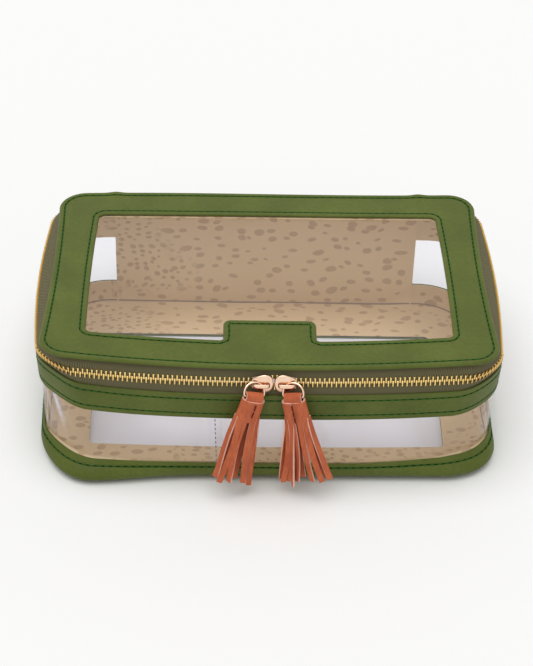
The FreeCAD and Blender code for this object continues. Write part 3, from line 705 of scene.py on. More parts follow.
lining_cloth = spotted_cloth()
print("finish:", lining_cloth.name)

# %% [markdown]
# ## Cloth in a seam
# Where the linings of the floor, the walls and the back meet, their edges turn in, and the fold shows as
# a thin, darker line. Painting that line on the print would leave it flat, so the fold is a piece of its
# own, and its finish is the same cloth in a browner tone, because little light reaches into a fold.


# %% Shaded cloth of a seam
def fold_cloth_painted_shade():
    """The lining where it is folded into a seam: a darker, browner weave with slow noise, which is painted
    shade.
    """
    material, nodes = new_finish("fold_cloth_painted_shade")
    place = nodes.place()
    drift = place.noise(300.0, 3.0)
    # Painted shade: the fold's cloth is darker and browner than the lining.
    surface(nodes, Base_Color=drift.mix(colour(150, 124, 100), colour(180, 152, 126)), Roughness=0.8,
            Normal=place.noise(3000.0, 2.0).bump(0.0001, 0.5))
    return material


seam_cloth_painted_shade = fold_cloth_painted_shade()
print("finish:", seam_cloth_painted_shade.name)

# %% [markdown]
# ## Clear vinyl
# The windows are half a millimetre of clear vinyl. Real refraction would be slow and noisy on so thin a
# sheet, and would hardly bend the view, so the sheet lets rays straight through with a faint grey and
# adds a mirror that grows towards a grazing view. A little haze and some scratches show where it has been
# handled, and the even haze is partly a painted reflection. A white painted highlight lies along a crease.


# %% Window sheet
def window_vinyl():
    """Transparent and glossy shaders mixed by 0.02 + 0.6 * facing^5, which is the same from either side of
    the sheet, then a trace of white haze along stretched noise, and a painted highlight of the same white
    along the mesh's creases."""
    material, nodes = new_finish("window_vinyl")
    flat = nodes.flat()
    ripple = flat.noise(28.0, 2.0).bump(0.0016, 0.35)
    clear = nodes.node("ShaderNodeBsdfTransparent", None, {"Color": (0.988, 0.988, 1.0, 1.0)})
    polish = {"Base Color": (1.0, 1.0, 1.0, 1.0), "Metallic": 1.0, "Roughness": 0.07, "Normal": ripple}
    gloss = nodes.node("ShaderNodeBsdfPrincipled", None, polish)
    facing = nodes.node("ShaderNodeLayerWeight", None, {"Blend": 0.5, "Normal": ripple}, "Facing")
    mirror = 0.02 + facing.math("POWER", facing, 5.0) * 0.6
    sheet = nodes.node("ShaderNodeMixShader", None, {0: mirror, 1: clear, 2: gloss})
    haze_and_highlight_layer = {"Base Color": (0.86, 0.87, 0.95, 1.0), "Roughness": 0.5, "Specular IOR Level": 0.2}
    haze = nodes.node("ShaderNodeBsdfPrincipled", None, haze_and_highlight_layer)
    scratch = flat.stretched(1.0, 9.0).noise(90.0, 3.0).step(0.66, 0.74) * flat.noise(22.0).step(0.5, 0.65)
    # Painted highlight: the crease attribute, set by the clear wall, whitens the sheet along a fold.
    crease = nodes.node("ShaderNodeAttribute", {"attribute_name": "crease"}, None, "Fac")
    # Even 0.014: haze and partly a painted reflection; scratches: wear; crease: painted highlight.
    haze_and_painted_highlight = 0.014 + scratch * 0.07 + crease * 0.6
    hazed = nodes.node("ShaderNodeMixShader", None, {0: haze_and_painted_highlight, 1: sheet, 2: haze})
    nodes.node("ShaderNodeOutputMaterial", None, {"Surface": hazed})
    return material


clear_vinyl = window_vinyl()
print("finish:", clear_vinyl.name)

# %% [markdown]
# ## Zip tape, metal and thread
# The tape is a tight herringbone in a duller olive than the cover. Its slants are stripes whose direction
# turns over every 1.2 mm, which is a stripe pattern read along a folded coordinate. The teeth are brass
# and the pulls a paler rose gold. Both are metals with a breath of noise in their gloss, and both have a
# painted dark reflection that deepens their colour towards a grazing view.


# %% Tape
def herringbone_tape():
    """Stripes along u plus a zigzag of v; the rounded stripe is both the height and the tone."""
    material, nodes = new_finish("herringbone_tape")
    flat = nodes.flat()
    u = flat.axis(0)
    v = flat.axis(1)
    zigzag = v.math("PINGPONG", v + 1.0, 0.0012)
    wave = ((u + zigzag * 1.2) * 4900.0).sine() * 0.5 + 0.5
    speck = flat.noise(900.0, 2.0)
    tone = (wave * 0.75 + speck * 0.4).step(0.1, 0.95)
    surface(nodes, Base_Color=tone.mix(colour(57, 52, 31), colour(123, 116, 83)),
            Roughness=0.7 + 0.15 * speck, Specular_IOR_Level=0.3, Normal=wave.bump(0.00016, 0.7))
    return material


zip_tape = herringbone_tape()
print("finish:", zip_tape.name)


# %% Metals
def polished_metal(name, tint, dull, painted_dark, gloss):
    """A metal whose tone and gloss drift with slow noise, and whose colour deepens as it turns from the
    eye, which is a painted dark reflection.
    """
    material, nodes = new_finish(name)
    place = nodes.place()
    wear = place.noise(260.0, 3.0)
    # Painted dark reflection: towards a grazing view the colour goes over to the darker third colour.
    away = nodes.node("ShaderNodeLayerWeight", None, {"Blend": 0.5}, "Facing").step(0.12, 0.6)
    surface(nodes, Base_Color=away.mix(wear.mix(dull, tint), painted_dark), Metallic=1.0,
            Roughness=gloss + 0.16 * wear, Normal=place.noise(900.0, 2.0).bump(0.00003, 0.3))
    return material


# The third colour of each metal is its painted dark reflection.
brass = polished_metal("brass", colour(250, 224, 150), colour(228, 192, 114), colour(172, 132, 66), 0.16)
rose_gold = polished_metal("rose_gold", colour(252, 222, 196), colour(240, 197, 164), colour(150, 92, 66),
                           0.07)
print("finishes:", brass.name, rose_gold.name)


# %% Thread
def sewn_thread(name, lit, painted_dark):
    """Thread with painted shade at both ends of u, where it dives into its holes, and plied twist across
    it.
    """
    material, nodes = new_finish(name)
    flat = nodes.flat()
    u = flat.axis(0)
    v = flat.axis(1)
    middle = 1 - u.apart(0.5) * 2
    ply = ((u * 4.0 + v) * 2 * math.pi).sine() * 0.5 + 0.5
    # Painted shade: both ends of each stitch take the dark colour.
    surface(nodes, Base_Color=middle.step(0.5, 0.66).mix(painted_dark, lit), Roughness=0.6 + 0.2 * ply,
            Specular_IOR_Level=0.12, Normal=ply.bump(0.00012, 0.6))
    return material


# The second colour of each thread is the painted shade at the ends of its stitches.
green_thread = sewn_thread("green_thread", colour(38, 92, 30), colour(16, 22, 6))
pale_thread = sewn_thread("pale_thread", colour(168, 162, 172), colour(96, 92, 104))
brown_thread = sewn_thread("brown_thread", colour(104, 40, 22), colour(52, 20, 12))
print("finishes:", green_thread.name, pale_thread.name, brown_thread.name)

# %% [markdown]
# ## Tassel leather and board
# The tassels are tan leather with a soft nap outside and paler, pinkish fibre wherever a knife has cut
# it. Two finishes on one mesh show that: the faces take the tan and the border strips take the cut. The
# board that stiffens the base and back hides between the layers, so it only needs a plain grey pulp.


# %% Tan, cut edge and pulp
def nap_leather(name, dark, light, grain):
    """Fibrous leather: noise stretched down its length for the nap, and finer noise for the pores."""
    material, nodes = new_finish(name)
    place = nodes.place()
    nap = place.stretched(1.0, 1.0, 0.25).noise(grain, 3.0)
    pores = place.noise(2400.0, 2.0)
    drift = place.noise(70.0, 2.0)
    tone = (nap * 0.6 + drift * 0.5).step(0.25, 0.85)
    surface(nodes, Base_Color=tone.mix(dark, light), Roughness=0.58 + 0.18 * nap, Specular_IOR_Level=0.35,
            Normal=(nap * 0.6 + pores * 0.4).bump(0.00022, 0.6))
    return material


def dress_node(node, finish):
    """Gives a finish to a CAD node whose own shape stays."""
    frame["nodes"][node].material_slots[0].material = finish


tan_leather = nap_leather("tan_leather", colour(172, 80, 45), colour(204, 109, 67), 700.0)
cut_edge = nap_leather("cut_edge", colour(222, 165, 146), colour(240, 196, 178), 1500.0)
grey_board = nap_leather("grey_board", colour(120, 116, 108), colour(150, 146, 138), 500.0)
for node, finish in (("bottom_stiffener", grey_board), ("back_stiffener", grey_board),
                     ("zipper_stops_lower", brass), ("zipper_stops_upper", brass)):
    dress_node(node, finish)
print("finishes:", tan_leather.name, cut_edge.name, grey_board.name)

# %% [markdown]
# ## Stitches
# A lockstitch shows as a row of short, plump threads that dive into the leather at each end. A bump
# texture could fake the row, but its edge would look cut out at the rim. One small spindle, carried along
# a path with the surface's own normal, follows every seam on the case.

# %% One stitch and a row of them
STITCH_PITCH = 4.2
STITCH_LENGTH = 4.15
THREAD_R = 0.5


def spindle(length, radius):
    """A stitch along x: rings of six points whose radius swells and closes, arched a little above z = 0."""
    share = np.array([-1.0, -0.82, -0.4, 0.4, 0.82, 1.0])
    swell = radius * np.array([0.8, 0.9, 1.0, 1.0, 0.9, 0.8])
    arch = radius * np.array([-0.05, 0.05, 0.2, 0.2, 0.05, -0.05])
    circle = ring_of(6)
    y = swell[:, None] * circle[:, 0]
    z = swell[:, None] * circle[:, 1] * 0.8 + arch[:, None]
    return loft(stacked(share[:, None] * length / 2, y, z))


def stitch_row(path, normals, pitch=STITCH_PITCH, length=STITCH_LENGTH, radius=THREAD_R, closed=False):
    """Stitches along a path: places at equal distances, with x along the path and z along the surface's
    normal. One normal will do for a level row."""
    normals = np.broadcast_to(normals, path.shape)
    if closed:
        path = np.concatenate([path, path[:1]])
        normals = np.concatenate([normals, normals[:1]])
    run = run_of(path)
    count = max(1, int(run[-1] / pitch))
    at = (np.arange(count) + 0.5) * run[-1] / count

    def along(values, distance):
        """Values of the path read at distances from its start."""
        return stacked(*[np.interp(distance, run, values[:, axis]) for axis in range(3)])

    origin = along(path, at)
    ahead = unit(along(path, at + 0.4 * length) - along(path, at - 0.4 * length))
    up = along(normals, at)
    up = unit(up - ahead * (up * ahead).sum(axis=1, keepdims=True))
    axes = np.stack([ahead, np.cross(up, ahead), up], axis=1)
    return repeated(spindle(length, radius), origin, axes)


def wall_stitches(z, inset):
    """A row of stitches round the wall at one height, facing outward."""
    path = rim(wall_turns, z, inset)
    outward = path - rim(wall_turns, z, inset + 1.0)
    return stitch_row(path, unit(outward))


print("a stitch has", sum(len(faces) for faces, _ in spindle(STITCH_LENGTH, THREAD_R).groups), "faces")

# %% [markdown]
# ## The lid's frame
# The lid is a ring of cover leather folded over a board, with a tab that reaches into the window from the
# front. The ring could be cut with booleans, but the folded edges would stay square. Instead each column
# of the grid joins a point of the rim to a point of the window's edge, and its rows roll over at both
# ends.

# %% Matching edges of the lid
LID_BORDER = 24.0
LID_SIDE_BORDER = 25.0
WINDOW_LINE = (LID_LINE[0] - LID_SIDE_BORDER, LID_LINE[1] + LID_BORDER, BACK_Y - LID_BORDER, 6.5, 1.0, 4.0)
TAB_HALF = 25.5
TAB_TIP_Y = WINDOW_LINE[1] + 19.0
TAB_R = 4.0
TAB_ROOT_R = 1.5
EDGE_STEP = 1.6


def tab_edge():
    """Right half of the tab's edge from the middle of its tip: a straight, a round corner, a straight and a
    small hollow at the root. Gives points, directions into the leather, and where it meets the window."""
    fine = np.linspace(0.0, 1.0, 2001)
    window_x, window_y, _, _ = outline(WINDOW_LINE, fine)
    root_x = TAB_HALF + TAB_ROOT_R
    root_y = np.interp(root_x, window_x, window_y)
    share = np.linspace(0.0, 1.0, 41)
    corner = np.pi / 2 * (1 - share)
    hollow = np.pi * (1 + share / 2)
    still = 0 * share
    x = [(TAB_HALF - TAB_R) * share, TAB_HALF - TAB_R + TAB_R * np.cos(corner), TAB_HALF + still,
         root_x + TAB_ROOT_R * np.cos(hollow)]
    straight = np.linspace(TAB_TIP_Y - TAB_R, root_y + TAB_ROOT_R, 41)
    y = [TAB_TIP_Y + still, TAB_TIP_Y - TAB_R + TAB_R * np.sin(corner), straight,
         root_y + TAB_ROOT_R + TAB_ROOT_R * np.sin(hollow)]
    into_x = [still, -np.cos(corner), still - 1, np.cos(hollow)]
    into_y = [still - 1, -np.sin(corner), still, np.sin(hollow)]
    lines = stacked(*[np.concatenate(part) for part in (x, y, into_x, into_y)])
    return lines, np.interp(root_x, window_x, fine)


def lid_edges(step):
    """Columns of the lid: rim points, outward directions, window points and directions into the leather.
    Along the tab they go by its own length, and past it by the longer of the two edges."""
    tab, root_turn = tab_edge()
    run = run_of(tab[:, :2])
    even = np.linspace(0.0, run[-1], int(run[-1] / step) + 1)
    tab_part = stacked(*[np.interp(even, run, tab[:, n]) for n in range(4)])
    tab_part[:, 2:] = unit(tab_part[:, 2:])
    fine = np.linspace(root_turn, LAST_TURN, 8001)
    edges = [stacked(*outline(line, fine)[:2]) for line in (LID_LINE, WINDOW_LINE)]
    longer = np.maximum(*[np.linalg.norm(np.diff(edge, axis=0), axis=1) for edge in edges])
    run = np.concatenate([[0.0], np.cumsum(longer)])
    turns = np.interp(np.linspace(0.0, run[-1], int(run[-1] / step) + 1), run, fine)[1:]
    inner = np.concatenate([tab_part, stacked(*outline(WINDOW_LINE, turns))])
    tab_turns = root_turn * np.linspace(0.0, 1.0, len(tab_part))
    rim_turns = np.concatenate([tab_turns, turns])
    outer = stacked(*outline(LID_LINE, rim_turns))
    outer[:, :2] -= lid_draw(rim_turns)[:, None] * outer[:, 2:]
    mirror = np.array([-1.0, 1.0, -1.0, 1.0])
    return [np.concatenate([side, side[-2:0:-1] * mirror]) for side in (outer, inner)]


lid_outer, lid_inner = lid_edges(EDGE_STEP)
print("the lid has", len(lid_outer), "columns")

# %% The lid's surface
SEAM_IN = 3.3
COVER_SHEET_T = 0.6
# Distance in from the edge and height off the lid's top, along the leather that is folded under
HEM_OUTER = np.array([[1.9, -1.72], [1.05, -1.74], [0.6, -1.6],
                      [0.36, -1.25], [0.34, -0.85], [0.52, -0.52]])
HEM_INNER = np.array([[1.7, -0.98], [0.95, -0.98], [0.5, -0.86], [0.34, -0.64], [0.48, -0.44]])
BORDER_ROWS = np.array([0.85, 1.3, 1.8, 2.3, 2.7, 3.0, 3.3, 3.6, 3.9])
LUMP_RISE = 0.8
LUMP_ACROSS = 4.0
LUMP_DEEP = 5.0
PLUMP_RISE = 0.42
PLUMP_BELL = (1.5, 0.95)
LID_SEAM_DENT = 0.3
LID_SEAM_WIDTH = 0.45


def lid_wave(x, y):
    """How the lid lies: slow waves of a quarter millimetre, and a lump over each seam of the back."""
    waves = 0.22 * np.sin(x / 31.0 + 0.4) * np.sin(y / 37.0 + 1.1)
    lump = LUMP_RISE * bell(np.abs(x), PANEL_HALF, LUMP_ACROSS) * bell(y, BACK_Y, LUMP_DEEP)
    return waves + lump + lean(x, y, LID_TOP)


def seam_profile(distance):
    """Height of the leather by its distance from an edge: plump at the fold, drawn down along the seam."""
    plump = PLUMP_RISE * bell(distance, *PLUMP_BELL)
    return plump - LID_SEAM_DENT * bell(distance, SEAM_IN, LID_SEAM_WIDTH) - COVER_SHEET_T / 2


def offset_rows(edge, distances, heights, sign):
    """Rows of points beside an edge, each a distance along its direction and a height off the lid's top."""
    plan = edge[None, :, :2] + sign * distances[:, None, None] * edge[None, :, 2:]
    z = LID_TOP + heights[:, None] + lid_wave(plan[..., 0], plan[..., 1])
    return np.concatenate([plan, z[..., None]], axis=-1)


def lid_ring():
    """Rows from the rim's hem over the border, straight across the middle, to the window's hem."""
    border = seam_profile(BORDER_ROWS)
    outer = offset_rows(lid_outer, np.concatenate([HEM_OUTER[:, 0], BORDER_ROWS]),
                        np.concatenate([HEM_OUTER[:, 1], border]), -1)
    inner = offset_rows(lid_inner, np.concatenate([HEM_INNER[:, 0], BORDER_ROWS]),
                        np.concatenate([HEM_INNER[:, 1], border]), 1)
    share = np.linspace(0.0, 1.0, 9)[1:-1, None, None]
    middle = outer[-1] * (1 - share) + inner[-1] * share
    return np.concatenate([outer, middle, inner[::-1]])


lid_points = lid_ring()
lid_shell = thick_sheet(lid_points, COVER_SHEET_T, lid_points[..., :2], closed=True)
lid_cover = add_piece("lid_cover", lid_shell, [green_cover], "lid", ["lid_frame", "lid_stiffener"])

# %% The lid's seams
STITCH_LIFT = 0.16


def lid_seam(edge, sign):
    """Stitches along the border, in from an edge by the seam's distance."""
    height = seam_profile(SEAM_IN) + COVER_SHEET_T / 2 + STITCH_LIFT
    path = offset_rows(edge, np.array([SEAM_IN]), np.array([height]), sign)[0]
    return stitch_row(path, (0.0, 0.0, 1.0), closed=True)


add_piece("lid_rim_stitches", lid_seam(lid_outer, -1), [green_thread], "lid")
add_piece("lid_window_stitches", lid_seam(lid_inner, 1), [green_thread], "lid")

# %% [markdown]
# ## Under the lid
# The lid's underside is lined with the printed cloth, and its window sheet lies between the two layers.
# Both are grids over the same plan: the lining uses the lid's own columns, and the clear sheet is a bowed
# rectangle that runs well under the leather and dips a little in the middle, as a soft sheet does.

# %% Lid lining and clear sheet
LINING_T = 0.5
SHEET_T = 0.5
SHEET_LAP = 7.0
LID_SHEET_Z = LID_TOP - SHEET_INSET
LID_SAG = 0.9
LID_LINING_Z = LID_UNDER + LINING_T / 2
LINING_FROM_RIM = 3.4
LINING_FROM_WINDOW = 0.6
LINING_SHOWS = 0.5


def lid_lining_grid():
    """Straight rows from inside the rim to the window's edge; along the back the cloth shows past it."""
    outer = lid_outer[:, :2] - LINING_FROM_RIM * lid_outer[:, 2:]
    back_edge = np.clip(lid_inner[:, 3:], 0, 1)
    from_window = LINING_FROM_WINDOW - (LINING_FROM_WINDOW + LINING_SHOWS) * back_edge
    inner = lid_inner[:, :2] + from_window * lid_inner[:, 2:]
    share = np.linspace(0.0, 1.0, 10)[:, None, None]
    plan = outer * (1 - share) + inner * share
    z = LID_LINING_Z + lid_wave(plan[..., 0], plan[..., 1])
    return np.concatenate([plan, z[..., None]], axis=-1)


def window_grid(line, z, sag, lap, step=4.0):
    """A bowed rectangle: x is cut in by the side bow towards the ends, y starts at the front's bow, and the
    height dips by sag in the middle with slow ripples that fade at the edges."""
    half, front, back, front_bow, side_bow, _ = line
    u = np.linspace(-1, 1, int(2 * half / step))[None, :]
    v = np.linspace(0, 1, int((back - front) / step))[:, None]
    x = u * (half + lap - side_bow * (2 * v - 1) ** 2)
    start = front - lap + front_bow * u ** 2
    y = start + v * (back + lap - start)
    free = (1 - u ** 4) * (1 - (2 * v - 1) ** 4)
    ripple = 0.22 * np.sin(x / 17.0 + 0.8) * np.sin(y / 21.0) + 0.1 * np.sin(x / 7.3 + y / 9.1)
    return stacked(x, y, z + free * (ripple - sag) + lean(x, y, z))


lining_points = lid_lining_grid()
lining_shell = thick_sheet(lining_points, LINING_T, lining_points[..., :2], closed=True)
lid_lining = add_piece("lid_lining_cloth", lining_shell, [lining_cloth], "lid", ["lid_lining"])
sheet_points = window_grid(WINDOW_LINE, LID_SHEET_Z, LID_SAG, SHEET_LAP)
lid_sheet = add_piece("lid_clear_sheet", thick_sheet(sheet_points, SHEET_T, sheet_points[..., :2]),
                      [clear_vinyl], "lid", ["lid_window"])

# %% [markdown]
# ## Bands round the wall
# Two bands of cover leather run round the case: a plain one under the zip, folded at both edges, and one
# at the base that rolls under to the floor. Each is a profile of inset and height carried along the plan,
# which is how a pattern maker thinks of it too: one strip, one seam line, one hem.


# %% A profile carried along the wall
def along_wall(profile, turns):
    """Rows of the wall: each row of the profile is an inset and a height, at every turn."""
    return rim(turns[None, :], profile[:, 1:2], profile[:, :1])


def strip_flat(points, runs):
    """Flat map of a strip: distance round the wall, and distance along the profile from its first row."""
    middle = points[:, points.shape[1] // 2]
    return stacked(runs[None, :], run_of(middle)[:, None])


WALL_SEAM_DENT = 0.28
WALL_SEAM_WIDTH = 0.5


def draw_in(z, seam_z):
    """How far a seam pulls the leather in: a narrow dent at the seam's height."""
    return WALL_SEAM_DENT * bell(z, seam_z, WALL_SEAM_WIDTH)


def add_strip(name, profile, thickness, finish, stands_for):
    """A strip of the case's wall from its profile."""
    points = along_wall(profile, wall_turns)
    flat = strip_flat(points, wall_runs)
    piece = add_piece(name, thick_sheet(points, thickness, flat), [finish], "case", stands_for)


print("a seam draws the leather in by", draw_in(0.0, 0.0), "mm")

# %% Upper band
UPPER_SEAMS = (CLEAR_TOP + 3.6, BAND_TOP - 3.8)
UPPER_STITCH_INSET = 0.55 - STITCH_LIFT
WALL_COVER_T = 0.7
BAND_PLUMP = 0.25
HEM_REACH = 1.3
SEAM_REACH = 1.2
HEM_DEPTHS = np.array([0.95, 0.72, 0.5, 0.42])
HEM_HEIGHTS = np.array([0.75, 0.35, 0.42, 0.85])


def band_profile(low, high, seams):
    """Inset and height up a band: a hem turned in at each end, plump between, drawn in along its seams."""
    close_rows = [seam + np.linspace(-SEAM_REACH, SEAM_REACH, 7) for seam in seams]
    z = np.sort(np.concatenate([np.linspace(low + HEM_REACH, high - HEM_REACH, 12), *close_rows]))
    inset = COVER_INSET - BAND_PLUMP * np.sin(np.pi * (z - low) / (high - low))
    inset = inset + sum(draw_in(z, seam) for seam in seams)
    foot = stacked(HEM_DEPTHS, low + HEM_HEIGHTS)
    head = stacked(HEM_DEPTHS, high - HEM_HEIGHTS)[::-1]
    return np.concatenate([foot, stacked(inset, z), head])


add_strip("upper_band_cover", band_profile(CLEAR_TOP, BAND_TOP, UPPER_SEAMS), WALL_COVER_T, green_cover,
          ["upper_band"])
upper_rows = [wall_stitches(z, UPPER_STITCH_INSET) for z in UPPER_SEAMS]
add_piece("upper_band_stitches", joined(upper_rows), [green_thread], "case")
straight_lining = stacked(LINING_INSET, np.linspace(CLEAR_TOP, BAND_TOP, 9))
add_strip("upper_band_lining_cloth", straight_lining, LINING_T, lining_cloth,
          ["upper_band_lining"])

# %% Lower band
LOWER_SEAM = LOWER_TOP - 2.8
LOWER_STITCH_INSET = 0.5 - STITCH_LIFT


def rolled_profile(inset, top, hem):
    """Inset and height of a layer that comes from under the base along a quarter circle and goes up the
    wall, to a hem that is turned in or to a plain end."""
    angle = np.linspace(0.0, np.pi / 2, 13)
    radius = BASE_ROLL - inset
    roll = stacked(BASE_ROLL - radius * np.sin(angle), BASE_ROLL - radius * np.cos(angle))
    z = np.linspace(BASE_ROLL, top - SEAM_REACH, 12)[1:]
    face = stacked(inset + draw_in(z, LOWER_SEAM) * hem, z)
    head = stacked(HEM_DEPTHS, top - HEM_HEIGHTS)[::-1] if hem else np.array([[inset, top]])
    return np.concatenate([roll, face, head])


add_strip("lower_band_cover", rolled_profile(COVER_INSET, LOWER_TOP, 1), WALL_COVER_T, green_cover,
          ["lower_band"])
lower_row = wall_stitches(LOWER_SEAM, LOWER_STITCH_INSET)
add_piece("lower_band_stitches", lower_row, [green_thread], "case")
add_strip("lower_band_lining_cloth", rolled_profile(LINING_INSET, LOWER_TOP, 0), LINING_T, lining_cloth,
          ["lower_band_lining"])

# %% [markdown]
# ## The clear wall
# Between the bands runs a strip of clear vinyl, sewn from two lengths that overlap left of the pulls. New
# vinyl keeps the memory of its roll and kinks where it rounds a corner, so a few slanting folds cross the
# front left corner. They fade out at the bands, where the leather holds the sheet flat. A white painted
# highlight lies along the upper part of one fold.

# %% Two lengths of vinyl and their lapped seam
SEAM_X = -30.0
LAP_HALF = 4.0
LAP_CLEARANCE = 0.08
LAP_EASE = 5.0
CLEAR_STEP = 1.6
CLEAR_ROWS = np.linspace(LOWER_TOP - 4.5, CLEAR_TOP + SHEET_LAP, 34)[:, None]
CREASE_Z = 30.0
# Turn at that height, rise that slants it by one turn, and width
RIDGE = (-1.42, 75.0, 0.05)
HOLLOW = (-1.85, 240.0, 0.06)
# Where along the wall and how wide
LEFT_KINKS = (-1.55, 0.42)
RIGHT_KINKS = (1.6, 0.5)
RIDGE_OUT = 1.7
HOLLOW_IN = 1.5
RIPPLE_OUT = 0.35
RIGHT_RIPPLE = 0.4
# Heights where the painted highlight along the crease begins and is full
HIGHLIGHT_FROM_Z = 27.0
HIGHLIGHT_FULL_Z = 41.0


def crease(turn, z, line):
    """A slanting line on the vinyl: 1 along it and 0 away from it."""
    middle, slant, width = line
    return bell(turn + (z - CREASE_Z) / slant, middle, width)


def kinks(turn, z):
    """How far the vinyl stands out: a ridge and a hollow along two creases of the left corner, and a
    slanting ripple at both corners, all of which fade at the bands."""
    open_height = np.clip((z - LOWER_TOP) / (CLEAR_TOP - LOWER_TOP), 0, 1)
    free = np.sin(np.pi * open_height) ** 2
    ripple = RIPPLE_OUT * np.sin(14.0 * turn + z / 6.0)
    left = RIDGE_OUT * crease(turn, z, RIDGE) - HOLLOW_IN * crease(turn, z, HOLLOW) + ripple
    return free * (bell(turn, *LEFT_KINKS) * left + RIGHT_RIPPLE * bell(turn, *RIGHT_KINKS) * ripple)


def clear_strip(turns, lap):
    """The vinyl between two turns; lap lifts its start out over the other length by one thickness."""
    inset = SHEET_INSET - kinks(turns[None, :], CLEAR_ROWS) - lap[None, :]
    return rim(turns[None, :], CLEAR_ROWS, inset)


def add_clear(name, start, end, over, stands_for):
    """One length of the clear wall, with an attribute that paints a highlight along its crease."""
    turns, runs = even_turns(start, end, CLEAR_STEP)
    beyond = np.abs(runs - runs[0])
    lap = over * (SHEET_T + LAP_CLEARANCE) * (1 - np.clip((beyond - 2 * LAP_HALF) / LAP_EASE, 0, 1))
    points = clear_strip(turns, lap)
    flat = strip_flat(points, runs)
    shell = thick_sheet(points, SHEET_T, flat)
    piece = add_piece(name, shell, [clear_vinyl], "case", stands_for)
    high_up = np.clip((CLEAR_ROWS - HIGHLIGHT_FROM_Z) / (HIGHLIGHT_FULL_Z - HIGHLIGHT_FROM_Z), 0, 1)
    # Painted highlight: white along the ridge crease, rising from the lower height to the upper
    white = crease(turns[None, :], CLEAR_ROWS, RIDGE) * high_up
    painted_highlight_attribute = piece.data.attributes.new("crease", "FLOAT", "POINT")
    painted_highlight_attribute.data.foreach_set("value", np.tile(white.ravel(), 2))


add_clear("clear_wall_left", -LAST_TURN, turn_at(SEAM_X + LAP_HALF), 0, ["clear_band_left"])
add_clear("clear_wall_right", turn_at(SEAM_X - LAP_HALF), LAST_TURN, 1,
          ["clear_band_right", "clear_band_seam_strip"])

# %% Thread of the lapped seam
# Pitch, length and radius
PALE_STITCH = (3.1, 1.3, 0.36)
PALE_END_GAP = 0.5
PALE_THREAD_INSET = SHEET_INSET - SHEET_T * 1.5 - 0.1

seam_z = np.linspace(LOWER_TOP + PALE_END_GAP, CLEAR_TOP - PALE_END_GAP, 30)
seam_path = rim(np.full_like(seam_z, turn_at(SEAM_X)), seam_z, PALE_THREAD_INSET)
add_piece("clear_wall_stitches", stitch_row(seam_path, (0.0, -1.0, 0.0), *PALE_STITCH), [pale_thread],
          "case")

# %% [markdown]
# ## The base
# Under the case a flat ring of leather holds a clear floor, so the tiles can be seen from below too, and
# the lining covers the ring inside. The rim of the base and the floor's window are the same kind of
# outline, so a ring is a straight blend from one to the other.

# %% Base ring, floor lining and floor sheet
FLOOR_BORDER = 28.0
FLOOR_BACK_BORDER = 36.0
FLOOR_LINE = (BASE_LINE[0] - FLOOR_BORDER, BASE_LINE[1] + FLOOR_BORDER, BACK_Y - FLOOR_BACK_BORDER,
              2.0, 1.0, 3.0)
BASE_COVER_T = 1.2
RING_CLEARANCE = 0.1
RING_ROWS = 24
LINING_EDGE_DROP = 0.1


def base_ring(z, edge_drop):
    """A closed ring at a height, from inside the rolled edge to the floor's window, where it may drop."""
    turns, _ = even_turns(-LAST_TURN, LAST_TURN, WALL_STEP, 0.0)
    outer = rim(turns, 0.0, BASE_ROLL + RING_CLEARANCE)[:, :2]
    inner = stacked(*outline(FLOOR_LINE, turns, 0.0, PANEL_HALF)[:2])
    share = np.linspace(0.0, 1.0, RING_ROWS)[:, None, None]
    plan = outer * (1 - share) + inner * share
    height = z - edge_drop * np.clip(share[..., 0] * 12 - 11, 0, 1) ** 2 + 0 * plan[..., 0]
    return np.concatenate([plan, height[..., None]], axis=-1)


def add_level(name, points, thickness, finish, stands_for, closed=True):
    """A level sheet of the base, a closed ring or a plain grid."""
    shell = thick_sheet(points, thickness, points[..., :2], closed)
    piece = add_piece(name, shell, [finish], "case", stands_for)


add_level("base_cover", base_ring(COVER_INSET, 0.0), BASE_COVER_T, green_cover,
          ["bottom_frame"])
add_level("floor_lining", base_ring(LINING_INSET, LINING_EDGE_DROP), LINING_T, lining_cloth,
          ["bottom_lining"])
add_level("floor_clear_sheet", window_grid(FLOOR_LINE, SHEET_INSET, 0.0, SHEET_LAP), SHEET_T, clear_vinyl,
          ["bottom_window"], closed=False)

# %% [markdown]
# ## The back and its hinge
# The back is one piece of leather from the floor to the lid, so the lid's hinge is nothing but that
# leather bending. Both the cover and its lining are single sheets from the floor to the lid, with rows
# close together near the fold.

# %% Back cover and lining
BACK_LAP = 1.0
FOOT_ROLL = 3.5
FOOT_LAP = 1.0
TIGHT_FOOT_HALF = 72.0
FOOT_EASE = 20.0
BACK_LINING_INSET = LINING_INSET + 0.6
COVER_PROUD = 0.95
PROUD_FROM_Z = 3.0
PROUD_OVER = 8.0
LINING_SINK = 1.0
COVER_END_Z = LID_TOP - 0.7
LINING_END_Z = LID_UNDER - 0.3
BACK_SLACK = 0.6
SLACK_FROM_Z = 9.0
SLACK_OVER = 55.0
CLOSE_ROWS_Z = CHAIN_Z - 9.0
FOLD_START = (0.0, BACK_Y * MM, (CHAIN_Z - 4.4) * MM)
FOLD_END = (0.0, BACK_Y * MM, (CHAIN_Z + 6.2) * MM)


def foot_roll(x):
    """Radius of the fold at the foot of the back: tight in the middle, the base's own at both ends."""
    share = np.clip((np.abs(x) - TIGHT_FOOT_HALF) / FOOT_EASE, 0, 1)
    return FOOT_ROLL + (BASE_ROLL - FOOT_ROLL) * share ** 2 * (3 - 2 * share)


